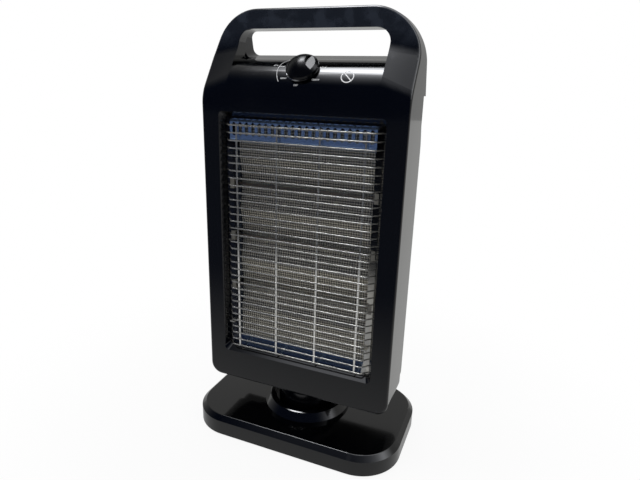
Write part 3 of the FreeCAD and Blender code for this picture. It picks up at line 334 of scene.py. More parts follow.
def gloss_black(finish):
    """Gloss moulded plastic: wiped smears, fine dust, a trace of orange peel and a painted sheen over the
    handle.
    """
    place = finish.place()
    smudge = finish.noise(place, 46.0, 4.0).rise(0.42, 0.62)
    # Painted sheen over the handle heights, broken up by smudges
    painted_sheen = finish.parts(place)[2].rise(*PAINTED_SHEEN_Z) * (0.5 + smudge * 0.5)
    smear = finish.noise(finish.stretched(place, (1.0, 1.0, 0.35)), 11.0, 4.0)
    dust = finish.noise(place, 620.0, 3.0).rise(0.66, 0.82)
    case = colours().case
    return {
        "Base Color": finish.mix(painted_sheen, finish.mix(dust * 0.3 + smear * 0.2, case, DUST), PAINTED_SHEEN),
        "Roughness": 0.07 + smear.rise(0.35, 0.8) * 0.10 + dust * 0.25,
        "Normal": finish.bump(finish.noise(place, 340.0), 0.03, 0.0004),
        "IOR": 1.52,
        "Coat Weight": 0.35,
        "Coat Roughness": 0.04,
    }


def knob_black(finish):
    """The case's plastic rubbed to a softer gloss by fingers."""
    place = finish.place()
    rubbed = finish.noise(place, 90.0, 3.0)
    return {
        "Base Color": finish.mix(rubbed, colours().case, DUST),
        "Roughness": 0.16 + rubbed * 0.12,
        "Normal": finish.bump(finish.noise(place, 340.0), 0.03, 0.0004),
        "IOR": 1.40,
    }


def dark_plate(finish):
    """Textured matt plate under the base."""
    place = finish.place()
    grain = finish.noise(place, 900.0, 3.0)
    worn = finish.noise(place, 14.0, 4.0)
    return {
        "Base Color": finish.mix(worn, (0.012, 0.012, 0.012), (0.028, 0.027, 0.026)),
        "Roughness": 0.55 + grain * 0.25,
        "Normal": finish.bump(grain, 0.35, 0.0005),
    }


def raw_steel(finish):
    """Rolled steel slab with mill scale and rust freckles."""
    place = finish.place()
    scale = finish.noise(finish.stretched(place, (0.25, 1.0, 1.0)), 60.0, 5.0)
    rust = finish.noise(place, 120.0, 6.0).rise(0.58, 0.75)
    rolled = finish.mix(scale, (0.16, 0.16, 0.17), (0.30, 0.30, 0.31))
    return {
        "Base Color": finish.mix(rust, rolled, (0.17, 0.07, 0.03)),
        "Metallic": 1.0 - rust * 0.9,
        "Roughness": 0.38 + scale * 0.25 + rust * 0.2,
        "Normal": finish.bump(scale, 0.2, 0.0006),
    }


def plated_steel(finish):
    """Zinc-plated steel with a faint spangle."""
    place = finish.place()
    spangle = finish.parts(finish.cells(place, 170.0))[0]
    haze = finish.noise(place, 30.0, 4.0)
    steel = colours().steel
    return {
        "Base Color": finish.mix(spangle * 0.5 + haze * 0.5, deeper(steel, 0.75), steel),
        "Metallic": 1.0,
        "Roughness": 0.26 + haze * 0.14 + spangle * 0.06,
        "Normal": finish.bump(haze, 0.08, 0.0004),
    }


def motor_case(finish):
    """Drawn motor can with turned rings."""
    place = finish.place()
    rings = finish.noise(finish.stretched(place, (1.0, 1.0, 20.0)), 90.0, 3.0)
    return {
        "Base Color": finish.mix(rings, (0.42, 0.42, 0.41), (0.60, 0.60, 0.58)),
        "Metallic": 1.0,
        "Roughness": 0.25 + rings * 0.2,
        "Normal": finish.bump(rings, 0.1, 0.0003),
    }


def dark_plastic(finish):
    """Matt moulded plastic with a fine spark-eroded grain."""
    place = finish.place()
    grain = finish.noise(place, 1400.0, 2.0)
    shade = finish.noise(place, 40.0, 3.0)
    return {
        "Base Color": finish.mix(shade, (0.014, 0.014, 0.015), (0.030, 0.030, 0.031)),
        "Roughness": 0.42 + grain * 0.2,
        "Normal": finish.bump(grain, 0.25, 0.0003),
    }


def pale_plastic(finish):
    """White low-friction plastic of the bush."""
    place = finish.place()
    shade = finish.noise(place, 70.0, 3.0)
    return {
        "Base Color": finish.mix(shade, (0.66, 0.65, 0.61), (0.78, 0.77, 0.74)),
        "Roughness": 0.32 + shade * 0.15,
        "Normal": finish.bump(finish.noise(place, 800.0), 0.1, 0.0003),
        "Subsurface Weight": 0.1,
        "Subsurface Radius": (0.002, 0.002, 0.002),
    }


def polished_sheet(finish):
    """Polished aluminium with rolling streaks and slight waviness; its blue colour is a painted reflection of
    the dim room ahead.
    """
    place = finish.place()
    streak = finish.noise(finish.stretched(place, (6.0, 200.0, 200.0)), 3.0, 4.0)
    wave = finish.noise(place, 26.0, 1.0)
    sheet = colours().sheet
    return {
        "Base Color": finish.mix(streak, deeper(sheet, 0.86), sheet),
        "Metallic": 0.92,
        "Roughness": 0.08 + streak * 0.10,
        "Normal": finish.bump(wave, 0.12, 0.002),
    }


def tray_sheet(finish):
    """Polished aluminium of the tray, with painted shade darkening its sides, its foot and the strip behind
    the deflector, and a painted highlight making it pale low on its right side."""
    sockets = polished_sheet(finish)
    across, _, height = finish.parts(finish.place())
    side = across.apart(*TRAY_SHADED_SIDE_X)
    pale = across.rise(*TRAY_HIGHLIGHT_X) * height.rise(*TRAY_HIGHLIGHT_Z)
    # Painted shade on the sides, with a painted highlight low on the right side
    edge = finish.mix(pale, (0.05, 0.055, 0.07), (0.92, 0.90, 0.84))
    # Painted shade, dark and bluish, at the foot
    foot = finish.mix(height.rise(*TRAY_FOOT_SHADE_Z) * 0.75, sockets["Base Color"], (0.05, 0.06, 0.08))
    tint = finish.mix(side, foot, edge)
    # Painted shade at the top, behind the deflector
    sockets["Base Color"] = finish.mix(height.rise(*TRAY_TOP_SHADE_Z), tint, (0.02, 0.02, 0.024))
    sockets["Metallic"] = sockets["Metallic"] - side * pale * 0.4
    return sockets


def embossed_metal(finish):
    """Embossed aluminium: a painted highlight on the raised dimples, painted shade in the hollows, and a
    straw tint of heat behind the lamps.
    """
    place = finish.place()
    haze = finish.noise(place, 34.0, 4.0)
    fine = finish.noise(place, 900.0, 2.0)
    x, _, z = finish.parts(place)
    heat = 0.0
    for level in LAMP_LEVELS:
        off = (z - level) / HEAT_REACH
        heat = heat + 1.0 / (1.0 + off * off)
    emboss = colours().emboss
    clean = finish.mix(haze, deeper(emboss, 0.80), emboss)
    heated = finish.mix(heat * 0.30 * haze, clean, (0.62, 0.46, 0.27))
    wave = math.tau / bpy.context.scene.heater_sheet.pattern
    dimple = ((x - SHEET_LOW.x) * wave).cosine() + ((z - SHEET_LOW.z) * wave).cosine()
    return {
        # Painted shade in the hollows of the dimples, painted highlight on the raised ones
        "Base Color": finish.mix(dimple.rise(-1.0, 0.9), heated, deeper(emboss, 0.14)),
        "Metallic": 0.84,
        "Roughness": 0.14 + haze * 0.10 + fine * 0.05,
        "Normal": finish.bump(fine, 0.05, 0.0002),
    }


def bright_wire(finish):
    """Bright plated wire with drawing marks and a little bloom; the uprights behind it carry a painted
    highlight, paler low down.
    """
    place = finish.place()
    across, depth, height = finish.parts(place)
    front = GUARD_LOW.y + 2 * bpy.context.scene.heater_guard.wire_radius
    upright = depth.rise(front - UPRIGHT_BLUR, front + UPRIGHT_BLUR) * across.apart(*UPRIGHT_X)
    # Painted highlight on the uprights low down
    pale = upright * height.rise(*UPRIGHT_HIGHLIGHT_Z)
    drawn = finish.noise(finish.stretched(place, (8.0, 300.0, 300.0)), 4.0, 3.0)
    bloom = finish.noise(place, 75.0, 4.0)
    wire = colours().wire
    plated = finish.mix(bloom.rise(0.4, 0.75), wire, deeper(wire, 0.62))
    return {
        "Base Color": finish.mix(pale, plated, (0.95, 0.94, 0.90)),
        "Metallic": 0.86 - pale * 0.46,
        "Roughness": 0.12 + drawn * 0.08 + bloom * 0.10,
        "Normal": finish.bump(drawn, 0.05, 0.0002),
    }


def silver_ring(finish):
    """Ring under the knob: silver on the left as a painted highlight, the dark case plastic elsewhere."""
    place = finish.place()
    shade = finish.noise(place, 60.0, 3.0)
    spots = finish.noise(place, 900.0, 2.0)
    # Painted highlight: silver and metallic only on the left of the ring
    bright = finish.parts(place)[0].rise(*RING_HIGHLIGHT_X)
    silver = finish.mix(spots, (0.62, 0.63, 0.65), (0.76, 0.77, 0.79))
    return {
        "Base Color": finish.mix(bright, colours().case, silver),
        "Metallic": bright,
        "Roughness": 0.09 + shade * 0.10,
        "Normal": finish.bump(spots, 0.03, 0.0001),
    }


def quartz_glass(finish):
    """Clear quartz with faint draw lines."""
    place = finish.place()
    line = finish.noise(finish.stretched(place, (2.0, 260.0, 260.0)), 4.0, 2.0)
    return {
        "Base Color": finish.mix(line, (0.93, 0.95, 0.95), (1.0, 1.0, 1.0)),
        "Roughness": 0.01 + line * 0.05,
        "Normal": finish.bump(line, 0.06, 0.0003),
        "IOR": 1.2,
        "Transmission Weight": 1.0,
    }


def coil_metal(finish):
    """Heating coil, grey with a warm oxide bloom."""
    place = finish.place()
    oxide = finish.noise(place, 160.0, 4.0)
    return {
        "Base Color": finish.mix(oxide, (0.30, 0.28, 0.26), (0.42, 0.27, 0.16)),
        "Metallic": 0.9,
        "Roughness": 0.36 + oxide * 0.2,
    }


def lamp_ceramic(finish):
    """Smoke-darkened steatite with specks."""
    place = finish.place()
    speck = finish.noise(place, 1100.0, 3.0)
    return {
        "Base Color": finish.mix(speck.rise(0.55, 0.75), (0.15, 0.145, 0.13), (0.08, 0.075, 0.065)),
        "Roughness": 0.62 + speck * 0.15,
        "Normal": finish.bump(speck, 0.3, 0.0004),
    }


def foot_rubber(finish):
    """Soft rubber with a dusty bloom."""
    place = finish.place()
    bloom = finish.noise(place, 210.0, 4.0)
    return {
        "Base Color": finish.mix(bloom, (0.014, 0.014, 0.014), (0.042, 0.041, 0.039)),
        "Roughness": 0.70 + bloom * 0.2,
        "Normal": finish.bump(bloom, 0.3, 0.0005),
    }


def printed_ink(finish):
    """Pale screen-printed ink, thin in places."""
    place = finish.place()
    thin = finish.noise(place, 700.0, 3.0)
    ink = colours().ink
    return {
        "Base Color": finish.mix(thin, deeper(ink, 0.80), ink),
        "Roughness": 0.42 + thin * 0.15,
    }


# Shapes

def grid_part(points, wrap_rows=False, wrap_columns=False):
    """A grid of points (rows, columns, 3) as corners and quads.
    A wrapped side joins its last line to its first."""
    rows, columns = points.shape[:2]
    row = np.arange(rows if wrap_rows else rows - 1)[:, None]
    column = np.arange(columns if wrap_columns else columns - 1)[None, :]
    next_row, next_column = (row + 1) % rows, (column + 1) % columns
    quads = np.stack(np.broadcast_arrays(row * columns + column, row * columns + next_column,
                                         next_row * columns + next_column, next_row * columns + column), -1)
    return points.reshape(-1, 3), quads.reshape(-1, 4).tolist()


def tube_part(line, aside, radius, sides):
    """Round tube: at each point of a line, centre + radius (cos a . across + sin a . up), closed to a point
    at both ends. Across is the line's direction crossed with the aside vector."""
    along = np.gradient(line, axis=0)
    across = np.cross(along, aside)
    across /= np.linalg.norm(across, axis=1, keepdims=True)
    up = np.cross(across, along)
    up /= np.linalg.norm(up, axis=1, keepdims=True)
    angle = np.linspace(0, math.tau, sides, endpoint=False)[None, :, None]
    rings = np.cos(angle) * across[:, None] + np.sin(angle) * up[:, None]
    points = line[:, None] + radius * rings
    ends = np.repeat(line[[0, -1]][:, None], sides, axis=1)
    return grid_part(np.concatenate((ends[:1], points, ends[1:])), wrap_columns=True)


def mesh_of(name, parts, sharp=math.radians(40)):
    """One mesh from several parts, doubles merged, faces turned outwards, smooth below the sharp angle."""
    corners, faces, start = [], [], 0
    for points, quads in parts:
        corners.append(points)
        faces += [[start + corner for corner in face] for face in quads]
        start += len(points)
    mesh = bpy.data.meshes.new(name)
    mesh.from_pydata(np.concatenate(corners), [], faces)
    work = bmesh.new()
    work.from_mesh(mesh)
    bmesh.ops.remove_doubles(work, verts=work.verts, dist=MERGE)
    bmesh.ops.dissolve_degenerate(work, edges=work.edges, dist=MERGE)
    bmesh.ops.recalc_face_normals(work, faces=work.faces)
    work.to_mesh(mesh)
    work.free()
    mesh.shade_smooth()
    mesh.set_sharp_from_angle(angle=sharp)
    return mesh


def piece(mesh, body, slot, look, *stands_for):
    """An object at the origin that rides on a body and may stand for solids."""
    made = bpy.data.objects.new(mesh.name, mesh)
    bpy.context.scene.collection.objects.link(made)
    mesh.materials.append(look)
    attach(made, body)
    if stands_for:
        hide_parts(*stands_for)


def dress(names, look):
    """Gives solids their finish."""
    for name in names:
        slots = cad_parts[name].data.materials
        slots.clear()
        slots.append(look)


# Operators: one for each piece or group of like pieces

class HEATER_OT_cases(bpy.types.Operator):
    """Gloss black covers, base, collar, neck and knob, the base plate and the feet"""

    bl_idname = "heater.cases"
    bl_label = "Cases"

    def execute(self, context):
        dress(("base_shell", "collar_ring", "neck_cover", "front_cover", "rear_cover"),
              material("gloss_black", gloss_black))
        dress(("knob",), material("knob_black", knob_black))
        dress(("base_plate",), material("dark_plate", dark_plate))
        dress(["foot_%d" % number for number in (1, 2, 3, 4)], material("foot_rubber", foot_rubber))
        return {"FINISHED"}


class HEATER_OT_inner(bpy.types.Operator):
    """Pieces inside the base and the head"""

    bl_idname = "heater.inner"
    bl_label = "Inner pieces"

    def execute(self, context):
        dress(("ballast_plate",), material("raw_steel", raw_steel))
        dress(("head_bracket", "lamp_bracket_right", "lamp_bracket_left", "drive_arm", "spindle",
               "spindle_nut", "swing_crank", "switch_shaft"), material("plated_steel", plated_steel))
        dress(("swing_motor", "thermal_cutout"), material("motor_case", motor_case))
        dress(("tip_switch", "tip_plunger", "rotary_switch", "terminal_block", "cord_gland"),
              material("dark_plastic", dark_plastic))
        dress(("bearing_bush",), material("pale_plastic", pale_plastic))
        return {"FINISHED"}


# Guard: points along each stretch of wire, and the seed of the bows

ARC_POINTS = 6
MIDDLE_POINTS = 14
UPRIGHT_POINTS = 9
BOW_SEED = 7


def wire_line(sizes, row_z, bow):
    """Centre line of one cross wire: a straight middle with a slight bow, an arc of the bend radius and
    a straight return. On the arc, seen from above, x = half - bend tan(lean / 2) + bend sin a and
    y = front + bend (1 - cos a)."""
    front = GUARD_LOW.y + sizes.wire_radius
    back = GUARD_HIGH.y - sizes.wire_radius / 2
    end = GUARD_HIGH.x - sizes.wire_radius / 2
    lean = math.atan2(back - front, end - sizes.half_length)
    start = sizes.half_length - sizes.bend * math.tan(lean / 2)
    turn = np.linspace(0, lean, ARC_POINTS)
    middle = np.linspace(-start, start, MIDDLE_POINTS)[1:-1]
    arc_x, arc_y = start + sizes.bend * np.sin(turn), front + sizes.bend * (1 - np.cos(turn))
    x = np.concatenate(([-end], -arc_x[::-1], middle, arc_x, [end]))
    y = np.concatenate(([back], arc_y[::-1], np.full(len(middle), front), arc_y, [back]))
    z = row_z + bow * np.cos(math.pi * x / (2 * end))
    return np.stack((x, y, z), -1)


class HEATER_OT_guard(bpy.types.Operator):
    """Welded wire guard and its clips"""

    bl_idname = "heater.guard"
    bl_label = "Wire guard"

    def execute(self, context):
        sizes = context.scene.heater_guard
        look = material("bright_wire", bright_wire)
        overhang = 2 * sizes.wire_radius
        heights = np.linspace(GUARD_LOW.z + overhang, GUARD_HIGH.z - overhang, sizes.rows)
        bows = np.random.default_rng(BOW_SEED).uniform(-sizes.bow, sizes.bow, sizes.rows)
        parts = [tube_part(wire_line(sizes, z, bow), (0, 0, 1), sizes.wire_radius, sizes.sides)
                 for z, bow in zip(heights, bows)]
        upright_y = GUARD_LOW.y + overhang + sizes.upright_radius
        levels = np.linspace(GUARD_LOW.z, GUARD_HIGH.z, UPRIGHT_POINTS)
        for number in range(sizes.uprights):
            x = sizes.upright_pitch * (number - (sizes.uprights - 1) / 2)
            line = np.stack((np.full_like(levels, x), np.full_like(levels, upright_y), levels), -1)
            parts.append(tube_part(line, (1, 0, 0), sizes.upright_radius, sizes.sides))
        piece(mesh_of("guard_wires", parts), "head", "chrome_wire", look, "grille")
        dress(("grille_clip_right", "grille_clip_left"), look)
        return {"FINISHED"}


# Embossing: grid steps across one dimple

DIMPLE_STEPS = 4


def embossed_part(sizes):
    """Sheet with a shallow arc behind each lamp, dimpled by (cos kx + cos kz) / 4 of the relief.
    On an arc of radius R the depth is sqrt(R^2 - dz^2) - (R - trough). The back and each end are flat."""
    step = sizes.pattern / DIMPLE_STEPS
    wide = np.linspace(SHEET_LOW.x, SHEET_HIGH.x, int((SHEET_HIGH.x - SHEET_LOW.x) / step) + 1)
    tall = np.linspace(SHEET_LOW.z, SHEET_HIGH.z, int((SHEET_HIGH.z - SHEET_LOW.z) / step) + 1)
    centres = np.array(LAMP_LEVELS)
    half = (centres[1] - centres[0]) / 2
    radius = (half ** 2 + sizes.trough ** 2) / (2 * sizes.trough)
    off = np.minimum(np.abs(tall[:, None] - centres[None, :]).min(1), half)
    dish = np.sqrt(radius ** 2 - off ** 2) - (radius - sizes.trough)
    wave = math.tau / sizes.pattern
    x, z = np.meshgrid(wide, tall, indexing="ij")
    dimple = sizes.relief * (np.cos(wave * (x - wide[0])) + np.cos(wave * (z - tall[0]))) / 4
    front = np.stack((x, SHEET_LOW.y + sizes.relief / 2 + dish[None, :] + dimple, z), -1)
    back = front[:, [-1, 0]]
    back[..., 1] = SHEET_LOW.y + sizes.trough + sizes.relief + sizes.thickness
    points, faces = grid_part(np.concatenate((front, back), 1), wrap_columns=True)
    columns = len(tall) + 2
    ends = [list(range(columns)), list(range(len(points) - columns, len(points)))]
    return points, faces + ends


class HEATER_OT_reflector(bpy.types.Operator):
    """Polished tray and deflector, and the embossed sheet"""

    bl_idname = "heater.reflector"
    bl_label = "Reflector"

    def execute(self, context):
        dress(("top_deflector",), material("polished_sheet", polished_sheet))
        dress(("reflector_tray",), material("tray_sheet", tray_sheet))
        part = embossed_part(context.scene.heater_sheet)
        look = material("embossed_metal", embossed_metal)
        mesh = mesh_of("embossed_sheet", [part], sharp=math.radians(80))
        piece(mesh, "head", "embossed_sheet", look, "embossed_reflector")
        return {"FINISHED"}


# Coils: steps round a turn, faces round the wire, and the share of the radius left at the ends

COIL_STEPS = 10
COIL_SIDES = 5
COIL_END = 0.2


def coil_part(sizes, low, high):
    """Helix along a lamp: y and z turn on the coil radius as x goes from end to end. Over the first and
    last turn the radius tapers to a small share of itself."""
    turns = int((high.x - low.x) / sizes.coil_pitch)
    t = np.linspace(0, 1, turns * COIL_STEPS + 1)
    reach = sizes.coil_radius * np.clip(np.minimum(t, 1 - t) * turns, COIL_END, 1.0)
    angle = math.tau * turns * t
    line = np.stack((low.x + (high.x - low.x) * t, (low.y + high.y) / 2 + reach * np.cos(angle),
                     (low.z + high.z) / 2 + reach * np.sin(angle)), -1)
    return tube_part(line, (1, 0, 0), sizes.coil_wire, COIL_SIDES)


class HEATER_OT_lamps(bpy.types.Operator):
    """Quartz lamps with their coils and end blocks"""

    bl_idname = "heater.lamps"
    bl_label = "Lamps"

    def execute(self, context):
        sizes = context.scene.heater_lamps
        dress(["lamp_tube_%d" % number for number in LAMP_NUMBERS], material("quartz_glass", quartz_glass))
        dress(["lamp_cap_%s_%d" % (side, number) for side in ("right", "left") for number in LAMP_NUMBERS],
              material("lamp_ceramic", lamp_ceramic))
        look = material("coil_metal", coil_metal)
        for number, (low, high) in zip(LAMP_NUMBERS, LAMPS):
            mesh = mesh_of("heating_coil_%d" % number, [coil_part(sizes, low, high)])
            piece(mesh, "head", "filament", look, "filament_%d" % number)
        return {"FINISHED"}


# Print round the knob: words and middles at (across, arc length up the roll), spans in degrees, and the share
# of a letter's full size that a capital takes

DIAL_WORDS = (("OFF", -0.0039, 0.0158), ("400W", -0.0216, 0.0241), ("800W", -0.0285, 0.0421),
              ("1200W", -0.0166, 0.0700), ("400W", 0.0225, 0.0700), ("800W", 0.0246, 0.0415),
              ("1200W", 0.0198, 0.0232))
CAPITAL = 0.72
BRACKET_MIDDLE, BRACKET_RADIUS, BRACKET_SPAN = (0.0004, 0.0385), 0.0334, (105, 214)
SWING_MIDDLE, SWING_RADIUS, SWING_SPAN = (-0.0379, 0.0420), 0.0030, (35, 145)
ARROW, ARROW_TILT = 0.0013, 0.0002
SIGN_MIDDLE, SIGN_RADIUS, SIGN_SLASH = (0.0581, 0.0284), 0.0074, (0.0052, -0.0052)


def on_fascia(sizes, flat):
    """Points (across, arc length up the roll, height off it) laid on the rolled fascia and the floor behind:
    on the roll the angle is arc / radius; past a quarter turn the arc runs straight up the leaning floor."""
    across, arc, height = flat[..., 0], flat[..., 1], flat[..., 2]
    quarter = sizes.roll_radius * math.pi / 2
    angle = np.minimum(arc, quarter) / sizes.roll_radius
    past = np.maximum(arc - quarter, 0)
    reach = sizes.roll_radius + height
    y = sizes.roll_y - reach * np.cos(angle) + past * math.cos(sizes.floor_lean)
    z = sizes.roll_z + reach * np.sin(angle) + past * math.sin(sizes.floor_lean)
    return np.stack((across, y, z), -1)


def round_line(middle, radius, span, count, endpoint=True):
    """Points (across, arc) round a middle: middle + radius (cos a, sin a), with a over the span."""
    angle = np.linspace(*np.radians(span), count, endpoint=endpoint)
    return np.array(middle) + radius * np.stack((np.cos(angle), np.sin(angle)), -1)


def ribbon_part(sizes, line, width, closed=False):
    """Flat printed line along points (across, arc): a slab of four corners at each point, its ends closed."""
    ahead = np.roll(line, -1, 0) - np.roll(line, 1, 0) if closed else np.gradient(line, axis=0)
    side = np.stack((-ahead[:, 1], ahead[:, 0]), -1)
    side = side / np.linalg.norm(ahead, axis=1, keepdims=True) * width / 2
    corners = [(line + side, -sizes.raised), (line + side, sizes.raised), (line - side, sizes.raised),
               (line - side, -sizes.raised)]
    loop = np.stack([np.concatenate((at, np.full((len(line), 1), height)), 1) for at, height in corners], 1)
    if not closed:
        ends = np.repeat(loop[[0, -1]].mean(1, keepdims=True), 4, 1)
        loop = np.concatenate((ends[:1], loop, ends[1:]))
    points, quads = grid_part(loop, wrap_rows=closed, wrap_columns=True)
    return on_fascia(sizes, points), quads


def word_part(sizes, text, across, arc):
    """A word made a mesh, then laid on the fascia about a point."""
    curve = bpy.data.curves.new("word", "FONT")
    curve.body, curve.size, curve.extrude = text, sizes.letter / CAPITAL, sizes.raised
    curve.align_x, curve.align_y, curve.resolution_u = "CENTER", "CENTER", 3
    holder = bpy.data.objects.new("word", curve)
    bpy.context.scene.collection.objects.link(holder)
    bpy.context.view_layer.update()
    mesh = bpy.data.meshes.new_from_object(holder.evaluated_get(bpy.context.evaluated_depsgraph_get()))
    flat = np.zeros(len(mesh.vertices) * 3)
    mesh.vertices.foreach_get("co", flat)
    faces = [list(face.vertices) for face in mesh.polygons]
    bpy.data.objects.remove(holder)
    bpy.data.curves.remove(curve)
    bpy.data.meshes.remove(mesh)
    return on_fascia(sizes, flat.reshape(-1, 3) + np.array((across, arc, 0))), faces


class HEATER_OT_dial(bpy.types.Operator):
    """Print round the knob: settings, swing bracket and sign"""

    bl_idname = "heater.dial"
    bl_label = "Dial print"

    def execute(self, context):
        sizes = context.scene.heater_print
        look = material("printed_ink", printed_ink)
        words = [word_part(sizes, *word) for word in DIAL_WORDS]
        piece(mesh_of("dial_words", words), "head", "bezel_ring", look)
        bracket = round_line(BRACKET_MIDDLE, BRACKET_RADIUS, BRACKET_SPAN, count=25)
        swing = round_line(SWING_MIDDLE, SWING_RADIUS, SWING_SPAN, count=9)
        tips = [swing[end] + np.array(((0, ARROW), (0, 0), (side * ARROW, ARROW_TILT)))
                for end, side in ((0, -1), (-1, 1))]
        lines = [ribbon_part(sizes, line, sizes.line) for line in (bracket, swing, *tips)]
        piece(mesh_of("swing_bracket", lines), "head", "bezel_ring", look)
        circle = round_line(SIGN_MIDDLE, SIGN_RADIUS, (0, 360), count=40, endpoint=False)
        slash = np.linspace(np.subtract(SIGN_MIDDLE, SIGN_SLASH), np.add(SIGN_MIDDLE, SIGN_SLASH), 8)
        bold = 2 * sizes.line
        sign = [ribbon_part(sizes, circle, bold, closed=True), ribbon_part(sizes, slash, bold)]
        piece(mesh_of("round_sign", sign), "head", "bezel_ring", look)
        return {"FINISHED"}


RING_SIDES = 96


def ring_part(sizes, roll):
    """Ring under the knob: u = r cos a across and v = r sin a up its face, a thin bevelled plate on a stem.
    The stem's foot lies on the roll of radius R, at sqrt(R^2 - v^2) - R from the seat."""
    turn = np.linspace(0, math.tau, RING_SIDES, endpoint=False)
    top, low = sizes.rise, sizes.rise - sizes.plate
    profile = ((sizes.inner, top), (sizes.outer - sizes.bevel, top), (sizes.outer, top - sizes.bevel),
               (sizes.outer, low), (sizes.stem, low), (sizes.stem, 0.0), (sizes.inner, 0.0))
    radius, lift = np.array(profile).T[:, :, None]
    across, up = radius * np.cos(turn), radius * np.sin(turn)
    lift = lift + np.zeros_like(up)
    lift[-2:] = np.sqrt(roll.roll_radius ** 2 - up[-2:] ** 2) - roll.roll_radius - roll.raised
    seat = np.array((0.0, roll.roll_y, roll.roll_z)) + roll.roll_radius * np.array(KNOB_AXIS)
    points = (seat + across[..., None] * np.array((1.0, 0.0, 0.0)) + up[..., None] * np.array(KNOB_UP)
              + lift[..., None] * np.array(KNOB_AXIS))
    return grid_part(points, wrap_rows=True, wrap_columns=True)


class HEATER_OT_ring(bpy.types.Operator):
    """Ring between the knob and the fascia"""

    bl_idname = "heater.ring"
    bl_label = "Knob ring"

    def execute(self, context):
        part = ring_part(context.scene.heater_ring, context.scene.heater_print)
        look = material("silver_ring", silver_ring)
        piece(mesh_of("knob_ring", [part]), "head", "bezel_ring", look, "knob_bezel")
        return {"FINISHED"}


# Screws: where each stands and how its cross is turned, and a head's rings from its crown round to its foot

BACK_SCREWS = ((-0.108, 0.100, 0.3), (0.108, 0.100, 1.0), (-0.108, 0.400, 0.7), (0.108, 0.400, 0.1))
UNDER_SCREWS = ((-0.092, -0.068, 0.5), (0.092, -0.068, 1.2), (-0.092, 0.068, 0.2), (0.092, 0.068, 0.9))
HEAD_RINGS = (0.0, 0.12, 0.2, 0.28, 0.36, 0.44, 0.52, 0.6, 0.68, 0.78, 0.88, 0.96, 1.0, 1.0, 0.0)
HEAD_SIDES = 48
DOME_FALL = 0.75
CROSS_REACH, CROSS_RUN_OUT = 0.66, 0.08


def screw_part(sizes, place, outward, turn):
    """Cross-head screw: over radius r and angle a the height is a shallow dome less a cross recess, with
    a straight rim and a flat foot. The recess is a smooth groove of the cross width along both arms."""
    radius = np.array(HEAD_RINGS) * sizes.head_radius
    angle = np.linspace(0, math.tau, HEAD_SIDES, endpoint=False) + turn
    r, a = np.meshgrid(radius, angle, indexing="ij")
    dome = sizes.head_rise * np.sqrt(np.maximum(1 - DOME_FALL * (r / sizes.head_radius) ** 2, 0))
    narrow = np.minimum(np.abs(r * np.sin(a - turn)), np.abs(r * np.cos(a - turn)))
    groove = np.clip((sizes.cross_width - narrow) / (0.5 * sizes.cross_width), 0, 1)
    groove = groove * np.clip((CROSS_REACH - r / sizes.head_radius) / CROSS_RUN_OUT, 0, 1)
    rise = dome - np.minimum(groove * sizes.cross_depth, dome)
    rise[-2:] = 0.0
    across = Vector(outward).orthogonal().normalized()
    up = Vector(outward).cross(across)
    points = (np.array(place) + (r * np.cos(a))[..., None] * np.array(across)
              + (r * np.sin(a))[..., None] * np.array(up) + rise[..., None] * np.array(outward))
    return grid_part(points, wrap_columns=True)


class HEATER_OT_fasteners(bpy.types.Operator):
    """Cross-head screws in the back cover and under the base"""

    bl_idname = "heater.fasteners"
    bl_label = "Fasteners"

    def execute(self, context):
        sizes = context.scene.heater_screws
        look = material("screw_steel", plated_steel)
        back = [screw_part(sizes, (x, BACK_Y, z), (0, 1, 0), turn) for x, z, turn in BACK_SCREWS]
        piece(mesh_of("cover_screws", back), "head", "bracket_steel", look)
        under = [screw_part(sizes, (x, y, PLATE_Z), (0, 0, -1), turn) for x, y, turn in UNDER_SCREWS]
        piece(mesh_of("base_screws", under), "base", "bracket_steel", look)
        return {"FINISHED"}


# Stage: tints, and where a tint begins and ends as part of a direction (X across, Y ahead) or in metres

WHITE = (1.0, 1.0, 1.0)
SOFT_WHITE = (0.85, 0.85, 0.85)
BACKDROP = (0.36, 0.36, 0.355)
BACKDROP_Y = (-0.55, 0.35)
GLOW = (15.0, 15.3, 16.0)
GLOW_LEFT_X = (-0.56, -0.34)
GLOW_RIGHT_X = (-0.22, -0.05)
FLOOR_BEHIND = (0.55, 0.55, 0.54)
FLOOR_BEHIND_Y = (-0.66, 0.22)
FLOOR_REACH = 8.0
SHADOW_REACH = (0.24, 0.60)
SOFTBOX_SIZE = (0.36, 0.60)
SOFTBOX_PLACE = (-0.40, -0.16, 1.90)
SOFTBOX_AIM = (0.0, -0.02, 0.40)
SENSOR_WIDTH = 36.0
NEAREST = 0.02


def place_camera(scene, look):
    """Camera turned by azimuth and elevation about the upright, then rolled."""
    azimuth, elevation, roll = look.camera_turn
    back = Vector((math.sin(azimuth) * math.cos(elevation), -math.cos(azimuth) * math.cos(elevation),
                   math.sin(elevation)))
    right = Vector((0, 0, 1)).cross(back).normalized()
    up = back.cross(right)
    turned_right = math.cos(roll) * right + math.sin(roll) * up
    turned_up = math.cos(roll) * up - math.sin(roll) * right
    lens = bpy.data.cameras.new("camera")
    lens.sensor_fit, lens.sensor_width, lens.lens = "HORIZONTAL", SENSOR_WIDTH, look.lens
    lens.clip_start = NEAREST
    camera = bpy.data.objects.new("camera", lens)
    turn = Matrix((turned_right, turned_up, back)).transposed().to_4x4()
    camera.matrix_world = Matrix.Translation(look.camera_place) @ turn
    scene.collection.objects.link(camera)
    scene.camera = camera


